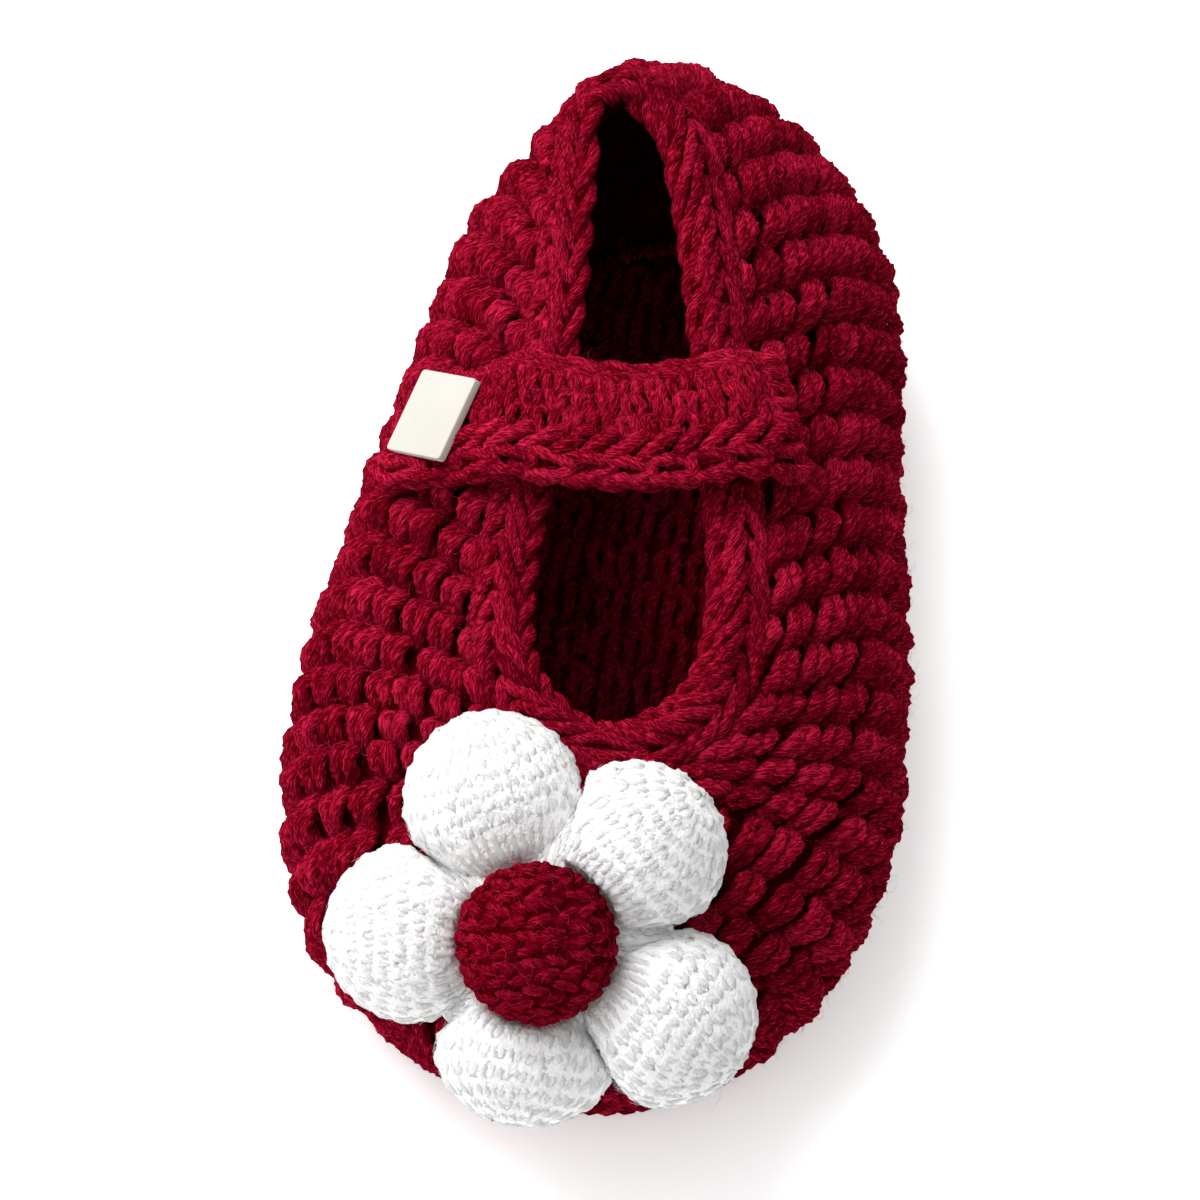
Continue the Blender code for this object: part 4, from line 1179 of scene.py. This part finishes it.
def petal_tip(node):
    """Direction from the flower's middle through the petal's middle, along the flower's plane."""
    tip = centre_of(node) - FLOWER_MIDDLE
    return unit(tip - FLOWER_OUT * (tip @ FLOWER_OUT))


def thinned_strands(points, radius):
    """Strands that thin out towards both ends."""
    thin = 1.0 - 0.5 * np.linspace(-1.0, 1.0, points.shape[1]) ** 6
    return points, np.full(points.shape[:2], radius) * thin


def petal_strands(node):
    tree = node_tree_of(node)
    middle = centre_of(node)
    tip = petal_tip(node)
    low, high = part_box(node)
    girth = math.pi * np.mean(np.sort((np.array(high) - np.array(low)) / MM)[1:]) * 0.5
    rounds = int(round(girth / PETAL_ROUND))
    groups = []
    for number in range(int(rounds * GATHER_START) + 1):
        polar_middle = math.pi * (number + 0.5) / rounds
        count = max(int(round(2.0 * math.pi * math.sin(polar_middle) * PETAL_HALF / PETAL_STITCH)), 4)
        path = stitch_paths(PUFF_STITCH, count, PUFF_JITTER, 13)
        polar = math.pi * (number + 0.5 - path[..., 0]) / rounds
        polar = np.clip(polar, POLE_GAP, math.pi - POLE_GAP)
        spin = 2.0 * math.pi * (np.arange(count)[:, None] + 0.5 * (number % 2) + path[..., 1]) / count
        points = puff_points(tree, middle, puff_ways(tip, polar, spin), path[..., 2] - PETAL_SINK)
        groups.append(thinned_strands(points, PETAL_RADIUS))
    path = stitch_paths(GATHER, GATHER_LINES, PUFF_JITTER, 17)
    polar = math.pi * (GATHER_START + (GATHER_END - GATHER_START) * path[..., 0])
    spin = 2.0 * math.pi * (np.arange(GATHER_LINES)[:, None] + path[..., 1]) / GATHER_LINES
    points = puff_points(tree, middle, puff_ways(tip, polar, spin), path[..., 2] - PETAL_SINK)
    groups.append(thinned_strands(points, GATHER_RADIUS))
    return groups


for node in PETALS:
    bag = puff_bag(node, f"{node}_bag", white_bag)
    strands = petal_strands(node)
    rounds_piece = yarn_piece(f"{node}_rounds", strands, white_yarn, PLAIN_SIDES, PETAL_PLY)
    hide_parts(node)

# Loose white fibres stand off the petals on their outer side
PETAL_FIBRES = 1000
PETAL_BARE = 0.12
FIBRE_STEPS = 5
FIBRE_SIDES = 3


def loose_fibres(points, outwards, length, lift, radius):
    """Short fibres that stand off the yarn: they start at the points and lie over in chance directions."""
    lean = chance.normal(0.0, 1.0, points.shape)
    lean = unit(lean - outwards * np.sum(lean * outwards, axis=1, keepdims=True))
    turn = np.cross(outwards, lean) * chance.normal(0.0, 0.7, (len(points), 1))
    reach = length * chance.uniform(0.5, 1.4, (len(points), 1))
    rise = lift * chance.uniform(0.1, 1.3, (len(points), 1))
    knots = [
        points - outwards * 0.15,
        points + lean * reach * 0.3 + outwards * rise * 0.6,
        points + (lean + 0.3 * turn) * reach * 0.65 + outwards * rise,
        points + (lean + turn) * reach + outwards * rise * chance.uniform(0.4, 1.3, (len(points), 1)),
    ]
    paths = smooth(np.stack(knots, axis=1), FIBRE_STEPS)
    return paths, np.linspace(1.0, 0.5, FIBRE_STEPS) * np.full((len(paths), 1), radius)


def fibre_material(name, deep, lit, sheen):
    """Single fibres: plain soft colour, a little different from one to the next, from their own colour up to
    a painted highlight.
    """
    material, tree, shader = new_material(name)
    shader.inputs["Roughness"].default_value = 0.9
    shader.inputs["Sheen Weight"].default_value = 0.4
    shader.inputs["Sheen Tint"].default_value = sheen
    shader.inputs["Specular IOR Level"].default_value = 0.0
    colour_by(tree, tone_node(tree), [(0.0, deep), (1.0, lit)])
    return material


def petal_fibres(node):
    ways = unit(chance.normal(0.0, 1.0, (4 * PETAL_FIBRES, 3)))
    ways = ways[ways @ FLOWER_OUT > PETAL_BARE][:PETAL_FIBRES]
    points = puff_points(node_tree_of(node), centre_of(node), ways, np.zeros(PETAL_FIBRES))
    return loose_fibres(points, ways, length=1.0, lift=0.14, radius=0.018)


white_fibre = fibre_material("white_fibre", SNOW, SNOW_LIT, WHITE)
fibres = [petal_fibres(node) for node in PETALS]
yarn_piece("petal_fibres", fibres, white_fibre, FIBRE_SIDES)

# Where two petals meet, their gathered ends swell together in a soft valley under the flower's middle
# (half sizes along the valley, across it and out of it)
JOIN_HALF = np.array([5.2, 3.2, 2.3])
JOIN_REACH = 7.6
JOIN_LIFT = 0.5
JOIN_DIP = math.radians(15.0)


def join_frames():
    """Middle and half axes of each swelling: along its valley, across it and out of it."""
    tips = sorted([petal_tip(node) for node in PETALS], key=lambda way: math.atan2(way[1], way[0]))
    base = FLOWER_MIDDLE - FLOWER_OUT * ((FLOWER_MIDDLE - petal_middles.mean(axis=0)) @ FLOWER_OUT)
    frames = []
    for first, second in zip(tips, tips[1:] + tips[:1]):
        way = unit(first + second)
        run = way * math.cos(JOIN_DIP) - FLOWER_OUT * math.sin(JOIN_DIP)
        beside = np.cross(FLOWER_OUT, way)
        axes = np.stack([run, beside, np.cross(run, beside)]) * JOIN_HALF[:, None]
        frames.append((base + way * JOIN_REACH + FLOWER_OUT * JOIN_LIFT, axes))
    return frames


def petal_joins():
    swellings = []
    for middle, axes in join_frames():
        bpy.ops.mesh.primitive_uv_sphere_add(segments=32, ring_count=20, radius=1.0)
        swelling = bpy.context.object
        place = Matrix.Identity(4)
        for axis in range(3):
            place.col[axis] = Vector((*(axes[axis] * MM), 0.0))
        place.translation = Vector((middle + SHOE_PLACE) * MM)
        swelling.data.transform(place)
        swellings.append(swelling)
    for swelling in swellings:
        swelling.select_set(True)
    bpy.context.view_layer.objects.active = swellings[0]
    bpy.ops.object.join()
    bpy.ops.object.shade_smooth()
    piece = bpy.context.object
    piece.name = "petal_joins"
    piece.select_set(False)
    piece.data.materials.append(white_bag)
    return piece


joins = petal_joins()
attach(joins, "root")

# Gathered strands lie along each swelling (share of its length, strands beside, millimetres out)
JOIN_LINES = 13
JOIN_SPREAD = math.radians(82.0)
JOIN_LINE = [
    (0.06, 0.0, -0.5), (0.27, 0.15, -0.26), (0.5, -0.1, -0.22), (0.73, 0.1, -0.26), (0.94, 0.0, -0.5),
]
JOIN_JITTER = np.array([0.02, 0.16, 0.05])


def join_strands():
    groups = []
    for middle, axes in join_frames():
        path = stitch_paths(JOIN_LINE, JOIN_LINES, JOIN_JITTER, 11)
        polar = math.pi * path[..., 0]
        line = np.arange(JOIN_LINES)[:, None] + path[..., 1]
        spin = JOIN_SPREAD * (2.0 * line / (JOIN_LINES - 1.0) - 1.0)
        ways = np.stack([-np.cos(polar), np.sin(polar) * np.sin(spin), np.sin(polar) * np.cos(spin)], axis=-1)
        points = middle + ways @ axes + unit(ways @ axes) * path[..., 2:]
        groups.append(even_strands(points, GATHER_RADIUS))
    return groups


yarn_piece("petal_join_gathers", join_strands(), white_yarn, PLAIN_SIDES, PETAL_PLY)


# Flower centre
# A stuffed dome of the red yarn, worked in close rows that curve over it from side to side.
# The strands of neighbouring rows slant opposite ways, as in a chain.

CENTRE_ROW = 1.6
CENTRE_STITCH = 2.6
CENTRE_RADIUS = 0.70
CENTRE_SINK = 0.7
CENTRE_TILT = math.radians(14.0)
CENTRE_HALF = 7.6
CENTRE_WRAP = 1.12
# (stitches along the row, rows across, millimetres out)
CENTRE_SLANT = np.array([
    (-0.8, -0.42, -0.9), (-0.4, -0.22, 0.1), (0.0, 0.0, 0.28), (0.4, 0.22, 0.1), (0.8, 0.42, -0.9),
])
CENTRE_JITTER = np.array([0.05, 0.06, 0.06])
# Packed close, the yarn of the middle is painted a shade darker: painted shade, where its close stitches
# shade each other
CENTRE_SHADED_RED = (0.205, 0.0011, 0.0098, 1.0)
CENTRE_SHADED_LIT = (0.470, 0.0100, 0.0440, 1.0)


def centre_strands():
    tree = node_tree_of("flower_centre")
    across = unit(np.cross(np.array([0.0, 1.0, 0.0]), FLOWER_OUT))
    upward = np.cross(FLOWER_OUT, across)
    row_way = across * math.cos(CENTRE_TILT) + upward * math.sin(CENTRE_TILT)
    up_way = np.cross(FLOWER_OUT, row_way)
    rows = int(round(math.pi * CENTRE_HALF / CENTRE_ROW))
    groups = []
    for number in range(rows):
        tilt_middle = math.pi * ((number + 0.5) / rows - 0.5)
        count = max(int(round(math.pi * CENTRE_HALF * math.cos(tilt_middle) / CENTRE_STITCH)), 2)
        slant = CENTRE_SLANT * np.array([1.0, 1.0 if number % 2 else -1.0, 1.0])
        path = stitch_paths(slant, count, CENTRE_JITTER, 11)
        tilt = tilt_middle + math.pi * path[..., 1] / rows
        swing = math.pi * ((np.arange(count)[:, None] + 0.5 + path[..., 0]) / count - 0.5) * CENTRE_WRAP
        ways = np.sin(tilt)[..., None] * up_way
        ways = ways + (np.cos(tilt) * np.sin(swing))[..., None] * row_way
        ways = ways + (np.cos(tilt) * np.cos(swing))[..., None] * FLOWER_OUT
        points = puff_points(tree, FLOWER_MIDDLE, unit(ways), path[..., 2] - CENTRE_SINK)
        groups.append(even_strands(points, CENTRE_RADIUS))
    return groups


centre_yarn = yarn_material("centre_yarn", DEEP_RED, CENTRE_SHADED_RED, CENTRE_SHADED_LIT, RED_SHEEN, RED_NAP)
centre_ground = stitch_ground("centre_inner_stitches", DEEP_RED, YARN_RED, 0.002, 0.002, False)
centre_bag = puff_bag("flower_centre", "flower_centre_bag", centre_ground)
centre_groups = centre_strands()
red_strands += centre_groups
centre_piece = yarn_piece("flower_centre_rows", centre_groups, centre_yarn)
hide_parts("flower_centre")


# Loose fibres
# Fine ends of the red yarn's fibres that stand off its strands all over, as on any soft wool or acrylic yarn.
# They start by chance on the outer sides of the strands and lie over in chance directions.

RED_FIBRES = 6400
# Loose red fibres run by chance from the yarn's red up to this lit red, a painted highlight
FIBRE_LIT = (0.66, 0.036, 0.10, 1.0)
FIBRE_SCATTER = 0.45
FIBRE_ROOT = 0.9
# Outwards is away from this line inside the shoe, and the tag stays free of fibres by this margin
AXIS_FROM = -35.0
AXIS_TO = 25.0
AXIS_HEIGHT = 10.0
TAG_MARGIN = 0.8
red_fibre = fibre_material("red_fibre", YARN_RED, FIBRE_LIT, RED_SHEEN)


def yarn_fibres(groups, number):
    total = sum(len(paths) for paths, _ in groups)
    points = []
    ways = []
    for paths, radii in groups:
        count = int(round(number * len(paths) / total))
        strand = chance.integers(0, len(paths), count)
        step = chance.integers(paths.shape[1] // 5, paths.shape[1] * 4 // 5, count)
        spot = paths[strand, step]
        run = unit(paths[strand, step + 1] - spot)
        axis = np.zeros_like(spot)
        axis[:, 1] = np.clip(spot[:, 1], AXIS_FROM, AXIS_TO)
        axis[:, 2] = AXIS_HEIGHT
        way = unit(spot - axis) + chance.normal(0.0, FIBRE_SCATTER, spot.shape)
        way = unit(way - run * np.sum(way * run, axis=1, keepdims=True))
        points.append(spot + way * radii[strand, step][:, None] * FIBRE_ROOT)
        ways.append(way)
    points = np.concatenate(points)
    ways = np.concatenate(ways)
    low, high = [np.array(corner) / MM - SHOE_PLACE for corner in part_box("tag")]
    plan = points[:, :2]
    bare = np.all((plan > low[:2] - TAG_MARGIN) & (plan < high[:2] + TAG_MARGIN), axis=1)
    return loose_fibres(points[~bare], ways[~bare], length=1.2, lift=0.4, radius=0.022)


yarn_piece("red_fibres", [yarn_fibres(red_strands, RED_FIBRES)], red_fibre, FIBRE_SIDES)


# Floor, light and camera
# A plain white table with a big soft window of light from the upper left, and a paler fill all round.
# The camera looks down on the toe at the angle of the photo.

FLOOR_SIZE = 4.0
FLOOR_PALE = (0.95, 0.95, 0.95, 1.0)
bpy.ops.mesh.primitive_plane_add(size=FLOOR_SIZE, location=(0.0, 0.0, 0.0))
floor = bpy.context.object
floor.name = "floor"
floor_paint, _, floor_shader = new_material("floor_paint")
floor_shader.inputs["Base Color"].default_value = FLOOR_PALE
floor_shader.inputs["Emission Color"].default_value = WHITE
floor_shader.inputs["Emission Strength"].default_value = 0.40
floor_shader.inputs["Roughness"].default_value = 0.9
floor_shader.inputs["Specular IOR Level"].default_value = 0.1
floor.data.materials.append(floor_paint)
floor.select_set(False)

# The fill is strongest from overhead and from the left, and never quite dark
SKY_OVERHEAD = 0.76
SKY_ACROSS = -0.64
SKY_BASE = 0.265
SKY_LEAST = 0.04
world = bpy.data.worlds.new("studio")
world.use_nodes = True
sky = world.node_tree
sky_place = sky.nodes.new("ShaderNodeTexCoord")
sky_parts = sky.nodes.new("ShaderNodeSeparateXYZ")
sky.links.new(sky_place.outputs["Generated"], sky_parts.inputs[0])
overhead = math_node(sky, "MULTIPLY", sky_parts.outputs["Z"], SKY_OVERHEAD)
from_left = math_node(sky, "MULTIPLY", sky_parts.outputs["X"], SKY_ACROSS)
sky_level = math_node(sky, "ADD", math_node(sky, "ADD", overhead, from_left), SKY_BASE)
sky_level = math_node(sky, "MAXIMUM", sky_level, SKY_LEAST)
sky.links.new(sky_level, sky.nodes["Background"].inputs["Strength"])
sky.nodes["Background"].inputs["Color"].default_value = WHITE
bpy.context.scene.world = world

WINDOW_PLACE = Vector((-0.42, 0.32, 0.9))
WINDOW_SIZE = 0.8
WINDOW_POWER = 8.8
lamp = bpy.data.lights.new("window", "AREA")
lamp.shape = "DISK"
lamp.size = WINDOW_SIZE
lamp.energy = WINDOW_POWER
window = bpy.data.objects.new("window", lamp)
bpy.context.scene.collection.objects.link(window)
window.location = WINDOW_PLACE
window.rotation_euler = (-WINDOW_PLACE).to_track_quat("-Z", "Y").to_euler()

VIEW_LEAN = math.radians(60.0)
VIEW_TURN = math.radians(8.0)
VIEW_DISTANCE = 0.56
VIEW_TARGET = Vector((-0.0033, 0.0105, 0.0))
VIEW_LENS = 158.0
lens = bpy.data.cameras.new("camera")
lens.lens = VIEW_LENS
lens.sensor_width = 36.0
lens.clip_start = 0.01
camera = bpy.data.objects.new("camera", lens)
bpy.context.scene.collection.objects.link(camera)
level = math.cos(VIEW_LEAN)
view_way = Vector((math.sin(VIEW_TURN) * level, -math.cos(VIEW_TURN) * level, math.sin(VIEW_LEAN)))
camera.location = VIEW_TARGET + VIEW_DISTANCE * view_way
camera.rotation_euler = (VIEW_TARGET - camera.location).to_track_quat("-Z", "Y").to_euler()
bpy.context.scene.camera = camera
bpy.context.scene.view_settings.view_transform = "Standard"
